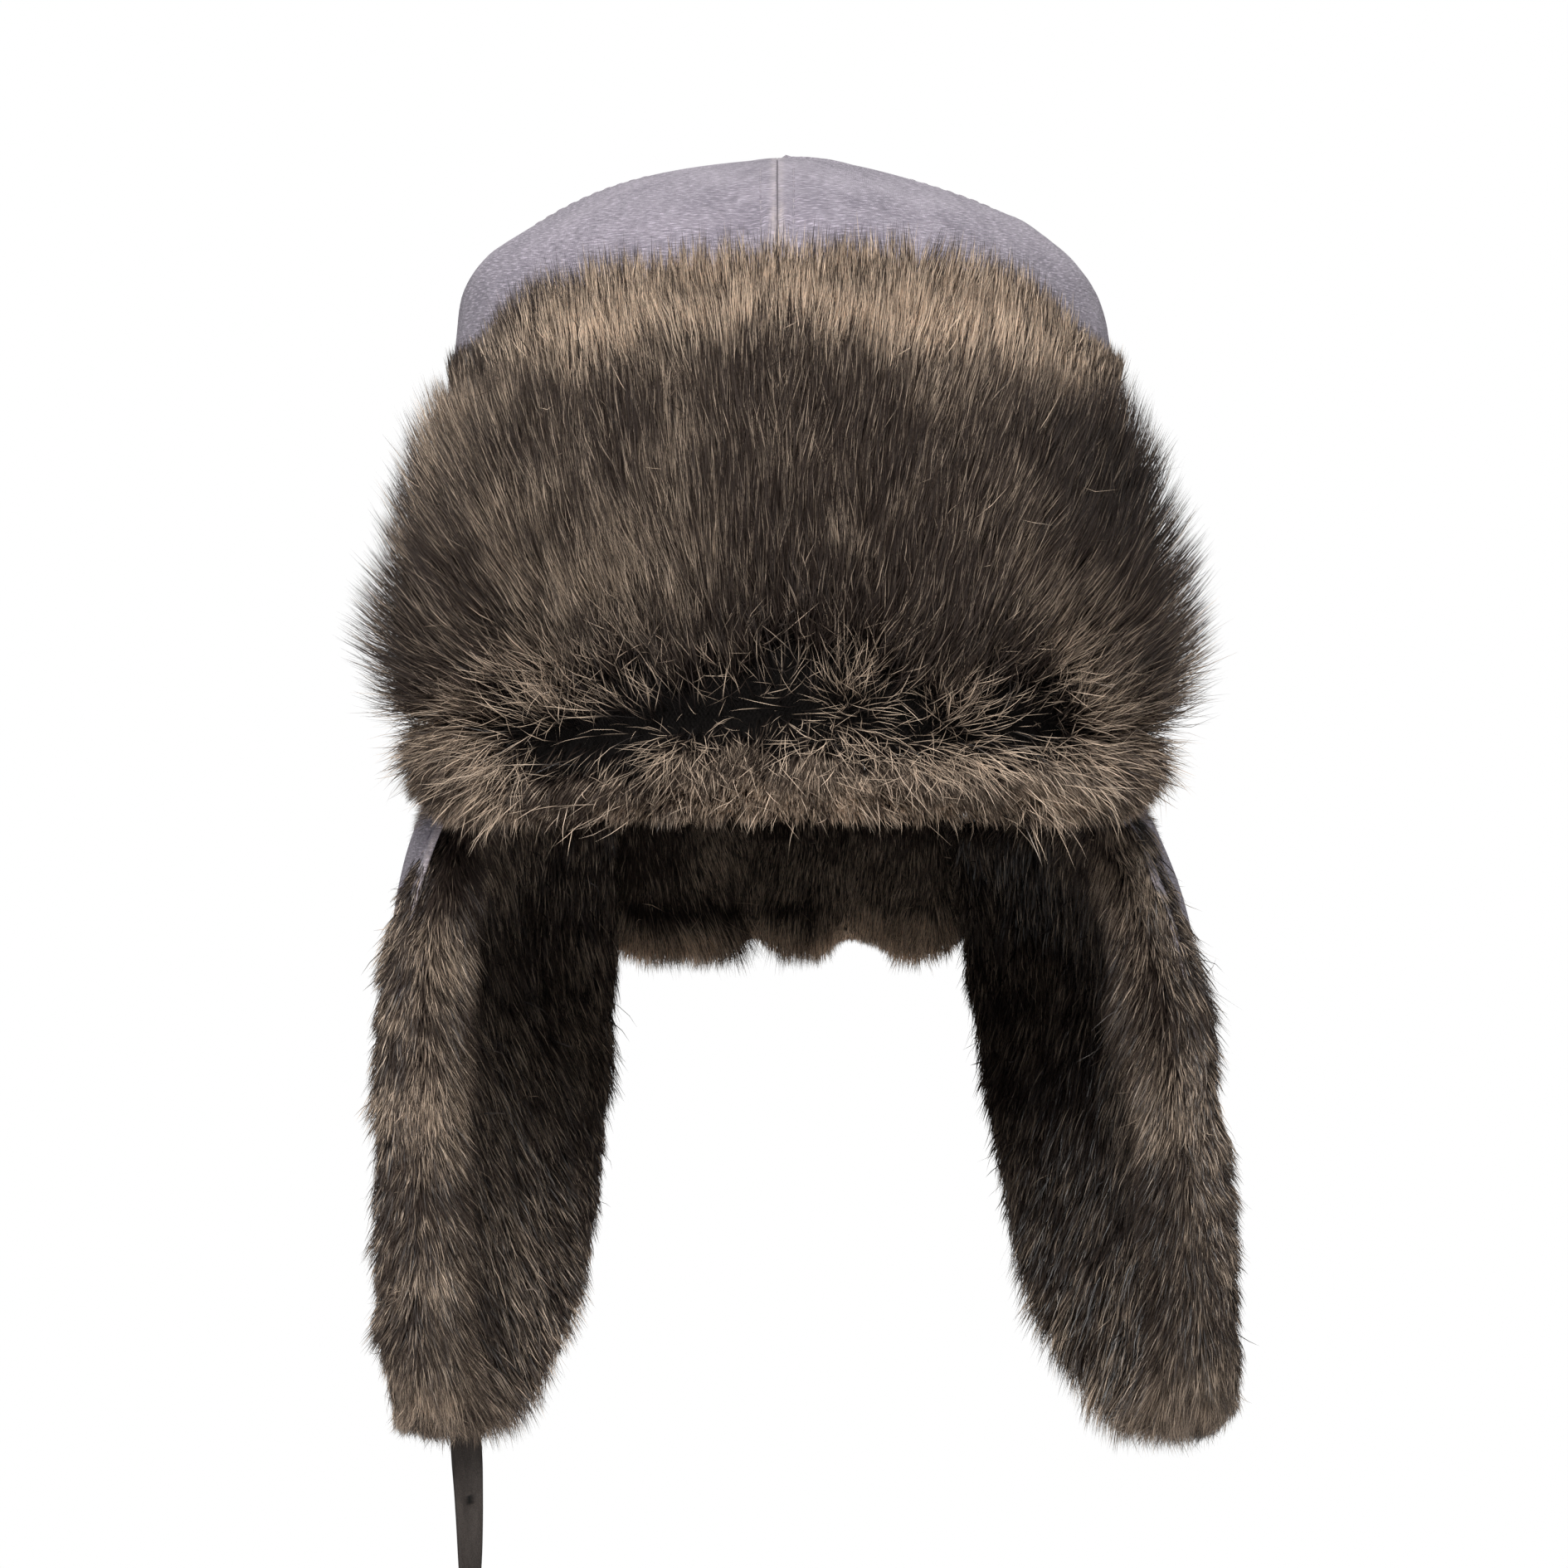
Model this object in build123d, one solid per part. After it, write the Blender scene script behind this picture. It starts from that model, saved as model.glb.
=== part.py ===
from build123d import *
import math
import os

os.makedirs("parts", exist_ok=True)

# Trapper hat. Millimetres, +Z up, the wearer looks along -Y, the wearer's left is +X.
# Origin: centre of the head opening, in the plane of the crown's lower edge.

# ---------------------------------------------------------------- driving dimensions
SHELL_T = 1.6            # waxed canvas with its backing
INSULATION_T = 6.0
LINING_T = 2.4
SWEATBAND_T = 1.2
STIFFENER_T = 1.0
LAYER_GAP = 0.2          # between layers of one flap
CROWN_GAP = 0.4          # between layers of the crown
SEAM_GAP = 0.2           # between neighbouring crown panels
SEAM_X = -1.8            # the centre seam sits a little to the wearer's right
SEAM_Y = -5.0            # the ear-to-ear seam runs a little forward of the top
BINDING_H = 3.0
FLAP_CLEAR = 0.4         # under the rim binding

BROW_BACKING_T = 1.4
BROW_CORE_T = 2.0
BROW_BOTTOM = -7.0
BROW_TOP = 128.0
BROW_PART = 16.0         # height of the parting between the roll and the main fur
BROW_HINGE_Y = -127.0

EAR_SHELL_T = 1.6
EAR_WADDING_T = 4.0
SLIT_X = 52.0            # the ear flaps end and the neck curtain begins
CURTAIN_BOTTOM = -44.0
FLAP_BOTTOM = -172.0
EAR_AXIS = (0.244, 0.970)        # plan direction of the fold line of the wearer's right flap
EAR_AXIS_OFFSET = 101.5          # distance of that line from the Z axis
LEFT_SPLAY = 6.0                 # the wearer's left flap hangs this much further out, degrees
CURTAIN_HINGE_Y = 118.0

STRAP_W = 10.0
STRAP_T = 2.2
STRAP_TURN = 45.0        # plan angle of the strap's width
STRAP_ROUTE = [
    (-87.6, -3.0, -174.2),
    (-86.2, -4.2, -193.0),
    (-86.0, -5.8, -228.0),
    (-87.3, -6.2, -268.0),
    (-88.0, -4.8, -318.0),
    (-87.0, -3.6, -365.0),
]

# z, half width, half depth, forward or rearward shift of the section
CROWN = [
    (0.0, 96.0, 114.0), (30.0, 95.6, 113.6), (60.0, 94.6, 112.2), (90.0, 92.8, 109.0),
    (112.0, 90.6, 104.8), (127.0, 87.0, 99.2), (139.0, 81.4, 91.6), (149.0, 72.6, 81.2),
    (157.0, 60.0, 66.6), (163.5, 43.6, 48.0), (168.0, 24.0, 26.4), (169.8, 9.0, 10.0),
]
FLAP = [
    (-3.4, 97.6, 115.6, 0.0, 12.6), (-20.0, 103.0, 123.0, -3.0, 20.0), (-45.0, 107.0, 134.4, -12.0, 25.0),
    (-75.0, 107.4, 137.0, -24.0, 25.4), (-105.0, 107.0, 128.0, -32.0, 25.4), (-135.0, 106.0, 111.0, -36.0, 25.0),
    (-160.0, 105.0, 99.0, -40.0, 24.0), (-178.0, 104.4, 92.0, -42.0, 22.0),
]
BROW = [
    # z, half width and half depth of the back face, pile thickness
    (-8.0, 97.2, 115.2, 13.0), (0.0, 97.0, 115.0, 17.0), (16.0, 96.8, 114.8, 18.0), (45.0, 95.9, 113.8, 19.0),
    (80.0, 94.4, 111.2, 18.0), (105.0, 92.4, 107.4, 15.0), (120.0, 90.4, 103.6, 11.0), (132.0, 88.6, 100.6, 7.0),
]


# ---------------------------------------------------------------- helpers
def stack(rows):
    """One smooth solid through ellipses at given heights. Each row is z, a, b, shift."""
    faces = [Pos(0, r[3] if len(r) > 3 else 0, r[0]) * Ellipse(r[1], r[2]) for r in rows]
    return loft(faces)


def dome(t):
    """The crown's outer form moved inward by t along its own profile. It runs below the lower edge, and each layer is cut there."""
    rows = []
    n = len(CROWN)
    for i, (z, a, b) in enumerate(CROWN):
        lo, hi = CROWN[max(i - 1, 0)], CROWN[min(i + 1, n - 1)]
        da, dz = hi[1] - lo[1], hi[0] - lo[0]
        length = math.hypot(da, dz)
        na, nz = dz / length, -da / length
        if i == 0:
            na, nz = 1.0, 0.0
        rows.append((z - t * nz if i else -6.0, max(a - t * na, 4.0), max(b - t * na, 4.5), 0.0))
    return stack(rows)


def layer(t_out, t_in):
    return (dome(t_out) - dome(t_in)) & slab(-200, 200, -200, 200, 0, 200)


def flap_form(inset):
    """The ear flap and neck curtain's outer form, moved inward by inset(z, t)."""
    return stack([(z, a - inset(t), b - inset(t), y0) for z, a, b, y0, t in FLAP])


def brow_form(grow):
    return stack([(z, a + grow(p), b + grow(p), 0.0) for z, a, b, p in BROW])


def prism_x(points, x0, x1):
    """A solid whose side view, seen along X, is the closed outline through (y, z)."""
    face = make_face(Plane.YZ * Polyline(*points, close=True))
    return extrude(face, amount=x1 - x0).moved(Location((x0, 0, 0)))


def prism_y(points, y0, y1):
    """A solid whose front view, seen along Y, is the closed outline through (x, z)."""
    face = make_face(Plane.XZ * Polyline(*points, close=True))
    solid = extrude(face, amount=y1 - y0)
    low = solid.bounding_box().min.Y
    return solid.moved(Location((0, y0 - low, 0)))


def slab(x0, x1, y0, y1, z0, z1):
    return Pos((x0 + x1) / 2, (y0 + y1) / 2, (z0 + z1) / 2) * Box(x1 - x0, y1 - y0, z1 - z0)


def smooth_outline(points, steps=6):
    """A closed Catmull-Rom outline through the points, as short straight runs."""
    out = []
    n = len(points)
    for i in range(n):
        p0, p1, p2, p3 = (points[(i + k - 1) % n] for k in range(4))
        for s in range(steps):
            t = s / steps
            out.append(tuple(
                0.5 * (2 * p1[k] + (p2[k] - p0[k]) * t + (2 * p0[k] - 5 * p1[k] + 4 * p2[k] - p3[k]) * t * t
                       + (3 * p1[k] - p0[k] - 3 * p2[k] + p3[k]) * t ** 3)
                for k in range(2)))
    return out


made = {}


def keep(name, shape):
    made[name] = shape
    export_step(shape, f"parts/{name}.step")
    solids = shape.solids()
    print(f"{name}: {len(solids)} solid(s), {sum(s.volume for s in solids) / 1000:.2f} cm3")


# ---------------------------------------------------------------- crown
shell = layer(0.0, SHELL_T)
BIG = 200.0
g = SEAM_GAP / 2
quarters = {
    "crown_panel_front_left": slab(SEAM_X + g, BIG, -BIG, SEAM_Y - g, -5, BIG),
    "crown_panel_front_right": slab(-BIG, SEAM_X - g, -BIG, SEAM_Y - g, -5, BIG),
    "crown_panel_rear_left": slab(SEAM_X + g, BIG, SEAM_Y + g, BIG, -5, BIG),
    "crown_panel_rear_right": slab(-BIG, SEAM_X - g, SEAM_Y + g, BIG, -5, BIG),
}
for name, quarter in quarters.items():
    keep(name, shell & quarter)

t1 = SHELL_T + CROWN_GAP
keep("crown_insulation", layer(t1, t1 + INSULATION_T))
t2 = t1 + INSULATION_T + CROWN_GAP
lining = layer(t2, t2 + LINING_T)
for name, quarter in quarters.items():
    keep(name.replace("crown_panel", "crown_lining"), lining & quarter)
t3 = t2 + LINING_T + CROWN_GAP


def ring(t_out, t_in, z0, z1):
    return (dome(t_out) - dome(t_in)) & slab(-BIG, BIG, -BIG, BIG, z0, z1)


keep("headband_stiffener", ring(t3, t3 + STIFFENER_T, 3.0, 33.0))
t4 = t3 + STIFFENER_T + CROWN_GAP
keep("sweatband", ring(t4, t4 + SWEATBAND_T, 0.5, 38.0))
t5 = t4 + SWEATBAND_T

# the bound edge, under shell, wadding and lining
binding = Pos(0, 0, -BINDING_H) * extrude(Ellipse(CROWN[0][1], CROWN[0][2]), BINDING_H - 0.1)
binding -= Pos(0, 0, -BINDING_H - 1) * extrude(Ellipse(CROWN[0][1] - t2 - LINING_T, CROWN[0][2] - t2 - LINING_T), BINDING_H + 2)
keep("rim_binding", binding)

# two plain blank labels on the lining, at the back
label = ring(t3, t3 + 0.6, 50.0, 78.0) & slab(-24, 24, 0, BIG, 40, 90)
keep("inner_label", label)
tab = ring(t3, t3 + 0.5, 44.0, 62.0) & slab(30, 44, 0, BIG, 40, 90)
keep("size_tab", tab)

# ---------------------------------------------------------------- brow flap
brow_front = prism_y(smooth_outline([
    (-125, -30), (-125, 60), (-112, 88), (-94, 103), (-72, 114), (-48, 121), (-20, 125), (10, 127), (36, 125.5),
    (58, 121), (80, 112), (100, 99), (114, 84), (125, 60), (125, -30), (0, -30)]), -170.0, 0.0)
brow_side = prism_x([(-170, BROW_BOTTOM), (-76, BROW_BOTTOM), (-58, -4.5), (-48.5, 2), (-48.5, 20), (-52, 60), (-60, 100), (-66, 135), (-170, 135)],
                    -150.0, 150.0)
brow_zone = brow_front & brow_side
c1 = BROW_BACKING_T
c2 = c1 + LAYER_GAP
c3 = c2 + BROW_CORE_T
c4 = c3 + LAYER_GAP
keep("brow_flap_backing", (brow_form(lambda p: c1) - brow_form(lambda p: 0.0)) & brow_zone)
inner_zone = brow_zone & slab(-150, 150, -170, 0, BROW_BOTTOM + 3, 118) & slab(-96, 96, -170, 0, -20, 140)
keep("brow_flap_interlining", (brow_form(lambda p: c3) - brow_form(lambda p: c2)) & inner_zone)
brow_fur = (brow_form(lambda p: c4 + p) - brow_form(lambda p: c4)) & brow_zone
keep("brow_flap_fur", brow_fur & slab(-150, 150, -170, 0, BROW_PART + 0.1, 140))
keep("brow_roll_fur", brow_fur & slab(-150, 150, -170, 0, -20, BROW_PART - 0.1))

# ---------------------------------------------------------------- ear flaps and neck curtain
outer = flap_form(lambda t: 0.0)
shell_in = flap_form(lambda t: EAR_SHELL_T)
wad_out = flap_form(lambda t: EAR_SHELL_T + LAYER_GAP)
wad_in = flap_form(lambda t: EAR_SHELL_T + LAYER_GAP + EAR_WADDING_T)
fur_out = flap_form(lambda t: EAR_SHELL_T + 2 * LAYER_GAP + EAR_WADDING_T)
fur_in = flap_form(lambda t: t)

side_view = prism_x(smooth_outline([
    (-46, 12), (-46, -14), (-50, -44), (-53, -76), (-54, -108), (-50, -136), (-40, -156), (-22, -168.5), (0, -172),
    (22, -169), (44, -158), (64, -140), (92, -112), (130, -84), (150, -40), (150, 12)]), -140.0, -20.0)
front_view = prism_y(smooth_outline([
    (-140, 10), (-SLIT_X, 10), (-SLIT_X, -10), (-SLIT_X, -30), (-SLIT_X, -50), (-54, -72), (-56, -98), (-58, -122), (-63, -142),
    (-71, -156), (-82, -168), (-96, -178), (-140, -186)]), -90.0, 140.0)
zone = side_view & front_view & slab(-140, -SLIT_X, -90, 140, -180, -3.4)
zone_in = zone & slab(-140, -SLIT_X - 2, -90, 140, -168, -6)

right_shell = (outer - shell_in) & zone
right_wadding = (wad_out - wad_in) & zone_in
right_fur = (fur_out - fur_in) & zone

# the leather piece in the right flap's tip
px, py, pz = STRAP_ROUTE[0]
anchor = Pos(px, py, -163.4) * Rot(0, 0, STRAP_TURN) * Box(12.0, 2.2, 18.0)
pocket = Pos(px, py, -164.4) * Rot(0, 0, STRAP_TURN) * Box(12.6, 5.6, 22.0)
rivet = Pos(px, py, -162.0) * Rot(0, 0, STRAP_TURN) * Rot(90, 0, 0) * Cylinder(1.2, 3.8)
rivet_hole = Pos(px, py, -162.0) * Rot(0, 0, STRAP_TURN) * Rot(90, 0, 0) * Cylinder(1.25, 8)
head_a = Pos(px, py, -162.0) * Rot(0, 0, STRAP_TURN) * Rot(90, 0, 0) * (Pos(0, 0, 1.6) * Cylinder(2.4, 0.9))
head_b = Pos(px, py, -162.0) * Rot(0, 0, STRAP_TURN) * Rot(90, 0, 0) * (Pos(0, 0, -1.6) * Cylinder(2.4, 0.9))
rivet_all = (rivet & (Pos(px, py, -162.0) * Rot(0, 0, STRAP_TURN) * Box(20, 3.4, 20))) + head_a + head_b
keep("ear_flap_right_shell", right_shell)
keep("ear_flap_right_wadding", right_wadding - pocket)
keep("ear_flap_right_fur", right_fur - pocket)
keep("strap_anchor_patch", anchor - rivet_hole)
keep("strap_anchor_rivet", rivet_all)

# the wearer's left flap is the mirror image, hung a little further out about its own fold line
nx, ny = EAR_AXIS[1], EAR_AXIS[0]           # outward normal of the left fold line in plan
fold_left = Axis((nx * EAR_AXIS_OFFSET, ny * EAR_AXIS_OFFSET, -3.4), (EAR_AXIS[0], -EAR_AXIS[1], 0))


def to_left(shape):
    return shape.mirror(Plane.YZ).rotate(fold_left, LEFT_SPLAY)


keep("ear_flap_left_shell", to_left(right_shell))
keep("ear_flap_left_wadding", to_left(right_wadding))
keep("ear_flap_left_fur", to_left(right_fur))

# stud on a leather patch, on the outer face of the left flap near its tip, towards the back. It is drawn on the mirror side first.
PATCH_Y, PATCH_Z = 26.0, -140.0


def flap_seat(y, z):
    """The plane that touches the right flap's outer face at y, z, with its normal pointing out."""
    def at(yy, zz):
        rows = sorted(FLAP)
        lo = max(i for i in range(len(rows) - 1) if rows[i][0] <= zz)
        p0, p1, p2, p3 = (rows[min(max(lo + k, 0), len(rows) - 1)] for k in (-1, 0, 1, 2))
        t = (zz - p1[0]) / (p2[0] - p1[0])
        vals = []
        for k in (1, 2, 3):
            m1 = (p2[k] - p0[k]) / (p2[0] - p0[0]) * (p2[0] - p1[0])
            m2 = (p3[k] - p1[k]) / (p3[0] - p1[0]) * (p2[0] - p1[0])
            vals.append((2 * t ** 3 - 3 * t * t + 1) * p1[k] + (t ** 3 - 2 * t * t + t) * m1 + (3 * t * t - 2 * t ** 3) * p2[k] + (t ** 3 - t * t) * m2)
        ea, eb, ey = vals
        return Vector(-ea * math.sqrt(1 - ((yy - ey) / eb) ** 2), yy, zz)
    p = at(y, z)
    n = (at(y + 1, z) - at(y - 1, z)).cross(at(y, z + 1) - at(y, z - 1)).normalized()
    if n.X > 0:
        n = n * -1
    return Plane(origin=p, x_dir=(0, 0, 1), z_dir=n) if abs(n.Z) < 0.01 else Plane(origin=p, z_dir=n)


patch = (flap_form(lambda t: -1.9) - flap_form(lambda t: -0.2)) & slab(-140, -60, PATCH_Y - 6.5, PATCH_Y + 6.5, PATCH_Z - 14, PATCH_Z + 14)
seat = flap_seat(PATCH_Y, PATCH_Z)
stud = seat * Pos(0, 0, 4.4) * Cylinder(1.6, 4.6) + seat * Pos(0, 0, 7.6) * Sphere(2.9) + seat * Pos(0, 0, 2.8) * Cylinder(3.4, 0.9)
seats = [flap_seat(PATCH_Y + s * 0.10, PATCH_Z + s) for s in (-9.5, 9.5)]
rivets = [q * Pos(0, 0, 2.7) * Cylinder(2.3, 1.0) for q in seats]
tools = seat * Pos(0, 0, 1.6) * Cylinder(3.5, 6.0)
for q in seats:
    tools += q * Pos(0, 0, 1.6) * Cylinder(2.4, 6.0)
tools = tools & flap_form(lambda t: -5.0)
keep("stud_patch", to_left(patch - tools))
keep("strap_stud", to_left(stud))
keep("stud_patch_rivets", Compound(children=[to_left(r) for r in rivets]))

# neck curtain
c_front = prism_y([(-SLIT_X + 0.6, -3.4), (SLIT_X - 0.6, -3.4), (SLIT_X - 0.6, CURTAIN_BOTTOM - 3), (20, CURTAIN_BOTTOM),
                   (-20, CURTAIN_BOTTOM), (-SLIT_X + 0.6, CURTAIN_BOTTOM - 3)], 40.0, 140.0)
c_inner = slab(-SLIT_X + 3, SLIT_X - 3, 40, 140, CURTAIN_BOTTOM + 3, -6)
keep("neck_curtain_shell", (outer - shell_in) & c_front)
keep("neck_curtain_wadding", (wad_out - wad_in) & c_inner)
keep("neck_curtain_fur", (fur_out - fur_in) & c_front)

# ---------------------------------------------------------------- chin strap
pts = [Vector(*p) for p in STRAP_ROUTE]
radii = []
for i in range(1, len(pts) - 1):
    u, v = pts[i] - pts[i - 1], pts[i + 1] - pts[i]
    turn = math.radians(u.get_angle(v))
    radii.append(0.45 * min(u.length, v.length) / math.tan(turn / 2))
print("strap radii", [round(r) for r in radii], "runs", [round((pts[i + 1] - pts[i]).length, 1) for i in range(len(pts) - 1)])
route = FilletPolyline(*STRAP_ROUTE, radius=radii)
start = Plane(origin=pts[0], z_dir=route % 0, x_dir=(math.cos(math.radians(STRAP_TURN)), math.sin(math.radians(STRAP_TURN)), 0))
strap = sweep(start * Rectangle(STRAP_W, STRAP_T), path=route)
print("strap length", round(route.length, 2), "volume over section times length", strap.volume / (STRAP_W * STRAP_T * route.length))
keep("chin_strap", strap)
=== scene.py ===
import math

import bpy
import numpy as np
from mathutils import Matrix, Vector, kdtree


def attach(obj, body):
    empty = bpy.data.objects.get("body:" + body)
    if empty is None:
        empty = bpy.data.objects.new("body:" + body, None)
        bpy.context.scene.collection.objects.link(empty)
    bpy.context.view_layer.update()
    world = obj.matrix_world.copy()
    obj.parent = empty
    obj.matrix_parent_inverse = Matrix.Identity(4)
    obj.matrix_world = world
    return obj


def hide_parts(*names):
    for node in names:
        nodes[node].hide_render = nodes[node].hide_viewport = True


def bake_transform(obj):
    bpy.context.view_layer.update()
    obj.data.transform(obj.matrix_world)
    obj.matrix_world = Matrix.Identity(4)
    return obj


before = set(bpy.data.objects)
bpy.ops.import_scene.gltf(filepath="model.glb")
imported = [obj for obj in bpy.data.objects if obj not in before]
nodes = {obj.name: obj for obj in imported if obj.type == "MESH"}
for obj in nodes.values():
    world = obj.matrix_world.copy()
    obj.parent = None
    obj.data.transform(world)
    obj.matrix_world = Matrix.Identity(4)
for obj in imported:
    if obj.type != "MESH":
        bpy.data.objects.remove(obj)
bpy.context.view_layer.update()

MM = 0.001


# ---------------------------------------------------------------- camera
cam = bpy.data.objects.new("camera", bpy.data.cameras.new("camera"))
bpy.context.scene.collection.objects.link(cam)
cam.data.sensor_width = 36.0
cam.data.lens = 217.9
cam.data.shift_y = 0.0027
cam.data.clip_start, cam.data.clip_end = 0.05, 20.0
cam.location = (0.0, -2.6, -0.0011)
cam.rotation_euler = (math.pi / 2, 0.0, 0.0)
bpy.context.scene.camera = cam


# ---------------------------------------------------------------- small maths
def unit(v):
    return v / np.maximum(np.linalg.norm(v, axis=-1, keepdims=True), 1e-12)


def smooth(lo, hi, x):
    t = np.clip((np.asarray(x, float) - lo) / (hi - lo), 0, 1)
    return t * t * (3 - 2 * t)


def cubic(xs, ys):
    """A natural cubic through the points, held at its ends."""
    xs, ys = np.array(xs, float), np.array(ys, float)
    if xs[0] > xs[-1]:
        xs, ys = xs[::-1], ys[::-1]
    n, h = len(xs), np.diff(xs)
    A, r = np.zeros((n, n)), np.zeros(n)
    A[0, 0] = A[-1, -1] = 1
    for i in range(1, n - 1):
        A[i, i - 1], A[i, i], A[i, i + 1] = h[i - 1], 2 * (h[i - 1] + h[i]), h[i]
        r[i] = 6 * ((ys[i + 1] - ys[i]) / h[i] - (ys[i] - ys[i - 1]) / h[i - 1])
    m = np.linalg.solve(A, r)

    def f(x):
        x = np.clip(np.asarray(x, float), xs[0], xs[-1])
        i = np.clip(np.searchsorted(xs, x) - 1, 0, n - 2)
        d, H = x - xs[i], h[i]
        return ys[i] + d * ((ys[i + 1] - ys[i]) / H - H * (2 * m[i] + m[i + 1]) / 6) + d * d * m[i] / 2 + d ** 3 * (m[i + 1] - m[i]) / (6 * H)
    return f


def catmull(points, steps=8, closed=False):
    p = np.array(points, float)
    n = len(p)
    out = []
    for i in range(n if closed else n - 1):
        if closed:
            p0, p1, p2, p3 = p[(i - 1) % n], p[i], p[(i + 1) % n], p[(i + 2) % n]
        else:
            p0, p1, p2, p3 = p[max(i - 1, 0)], p[i], p[i + 1], p[min(i + 2, n - 1)]
        for s in range(steps):
            t = s / steps
            out.append(0.5 * (2 * p1 + (p2 - p0) * t + (2 * p0 - 5 * p1 + 4 * p2 - p3) * t * t + (3 * p1 - p0 - 3 * p2 + p3) * t ** 3))
    if not closed:
        out.append(p[-1])
    return np.array(out)


def lattice(ix, iy, iz, seed):
    h = (ix * 73856093) ^ (iy * 19349663) ^ (iz * 83492791) ^ (seed * 2654435761)
    h &= 0xFFFFFFFF
    h = ((h ^ (h >> 15)) * 2246822519) & 0xFFFFFFFF
    h = ((h ^ (h >> 13)) * 3266489917) & 0xFFFFFFFF
    return ((h ^ (h >> 16)) & 0xFFFFFF) / float(0x7FFFFF) - 1.0


def noise(p, scale, seed=0):
    """Smooth value noise from -1 to 1 of points in mm."""
    q = np.asarray(p, float) / scale + 100.0
    i = np.floor(q).astype(np.int64)
    f = q - i
    f = f * f * (3 - 2 * f)
    out = 0.0
    for dx in (0, 1):
        for dy in (0, 1):
            for dz in (0, 1):
                w = (f[..., 0] if dx else 1 - f[..., 0]) * (f[..., 1] if dy else 1 - f[..., 1]) * (f[..., 2] if dz else 1 - f[..., 2])
                out = out + w * lattice(i[..., 0] + dx, i[..., 1] + dy, i[..., 2] + dz, seed)
    return out


def turn(P, point, axis, angle):
    """P turned about an axis through point, by angle in radians."""
    k = np.array(axis, float)
    k /= np.linalg.norm(k)
    v = P - np.array(point, float)
    c, s = math.cos(angle), math.sin(angle)
    return np.array(point, float) + v * c + np.cross(k, v) * s + np.outer(v @ k, k) * (1 - c)


# ---------------------------------------------------------------- meshes
def mesh_from(name, V, F, attrs=None, smooth_faces=True, material=None):
    """V in mm, F lists of vertex indices (arrays of quads or triangles)."""
    faces = [np.asarray(f, np.int64) for f in (F if isinstance(F, (list, tuple)) else [F]) if len(f)]
    loops = np.concatenate([f.ravel() for f in faces])
    totals = np.concatenate([np.full(len(f), f.shape[1]) for f in faces])
    starts = np.concatenate([[0], np.cumsum(totals)[:-1]])
    me = bpy.data.meshes.new(name)
    me.vertices.add(len(V))
    me.vertices.foreach_set("co", (np.asarray(V, float) * MM).astype(np.float32).ravel())
    me.loops.add(len(loops))
    me.loops.foreach_set("vertex_index", loops.astype(np.int32))
    me.polygons.add(len(totals))
    me.polygons.foreach_set("loop_start", starts.astype(np.int32))
    me.update(calc_edges=True)
    me.polygons.foreach_set("use_smooth", np.full(len(totals), smooth_faces, bool))
    for key, value in (attrs or {}).items():
        value = np.asarray(value, np.float32)
        if value.ndim == 1:
            me.attributes.new(key, "FLOAT", "POINT").data.foreach_set("value", value)
        else:
            me.attributes.new(key, "FLOAT_VECTOR", "POINT").data.foreach_set("vector", value.ravel())
    if material:
        me.materials.append(material)
    ob = bpy.data.objects.new(name, me)
    bpy.context.scene.collection.objects.link(ob)
    return ob


def triangles(F):
    out = []
    for f in (F if isinstance(F, (list, tuple)) else [F]):
        f = np.asarray(f, np.int64)
        if len(f) == 0:
            continue
        out.append(f[:, :3])
        if f.shape[1] == 4:
            out.append(f[:, [0, 2, 3]])
    return np.concatenate(out)


def vertex_normals(V, F):
    T = triangles(F)
    n = np.cross(V[T[:, 1]] - V[T[:, 0]], V[T[:, 2]] - V[T[:, 0]])
    out = np.zeros_like(V)
    for k in range(3):
        np.add.at(out, T[:, k], n)
    return unit(out)


def outward(V, F):
    """The faces turned so that the closed form's normals point out."""
    T = triangles(F)
    a, b, c = V[T[:, 0]], V[T[:, 1]], V[T[:, 2]]
    if float((a * np.cross(b, c)).sum()) < 0:
        F = [np.asarray(f)[:, ::-1] for f in (F if isinstance(F, (list, tuple)) else [F])]
    return F if isinstance(F, list) else list(F) if isinstance(F, tuple) else [F]


def area_of(V, F):
    T = triangles(F)
    return float(np.linalg.norm(np.cross(V[T[:, 1]] - V[T[:, 0]], V[T[:, 2]] - V[T[:, 0]]), axis=1).sum() / 2)


def resample(P, n, closed=True):
    Q = np.vstack([P, P[:1]]) if closed else P
    s = np.concatenate([[0], np.cumsum(np.linalg.norm(np.diff(Q, axis=0), axis=1))])
    t = np.linspace(0, s[-1], n, endpoint=not closed)
    return np.stack([np.interp(t, s, Q[:, k]) for k in range(Q.shape[1])], axis=1)


def soften(P, rounds):
    for _ in range(rounds):
        P = 0.5 * P + 0.25 * (np.roll(P, 1, 0) + np.roll(P, -1, 0))
    return P


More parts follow.
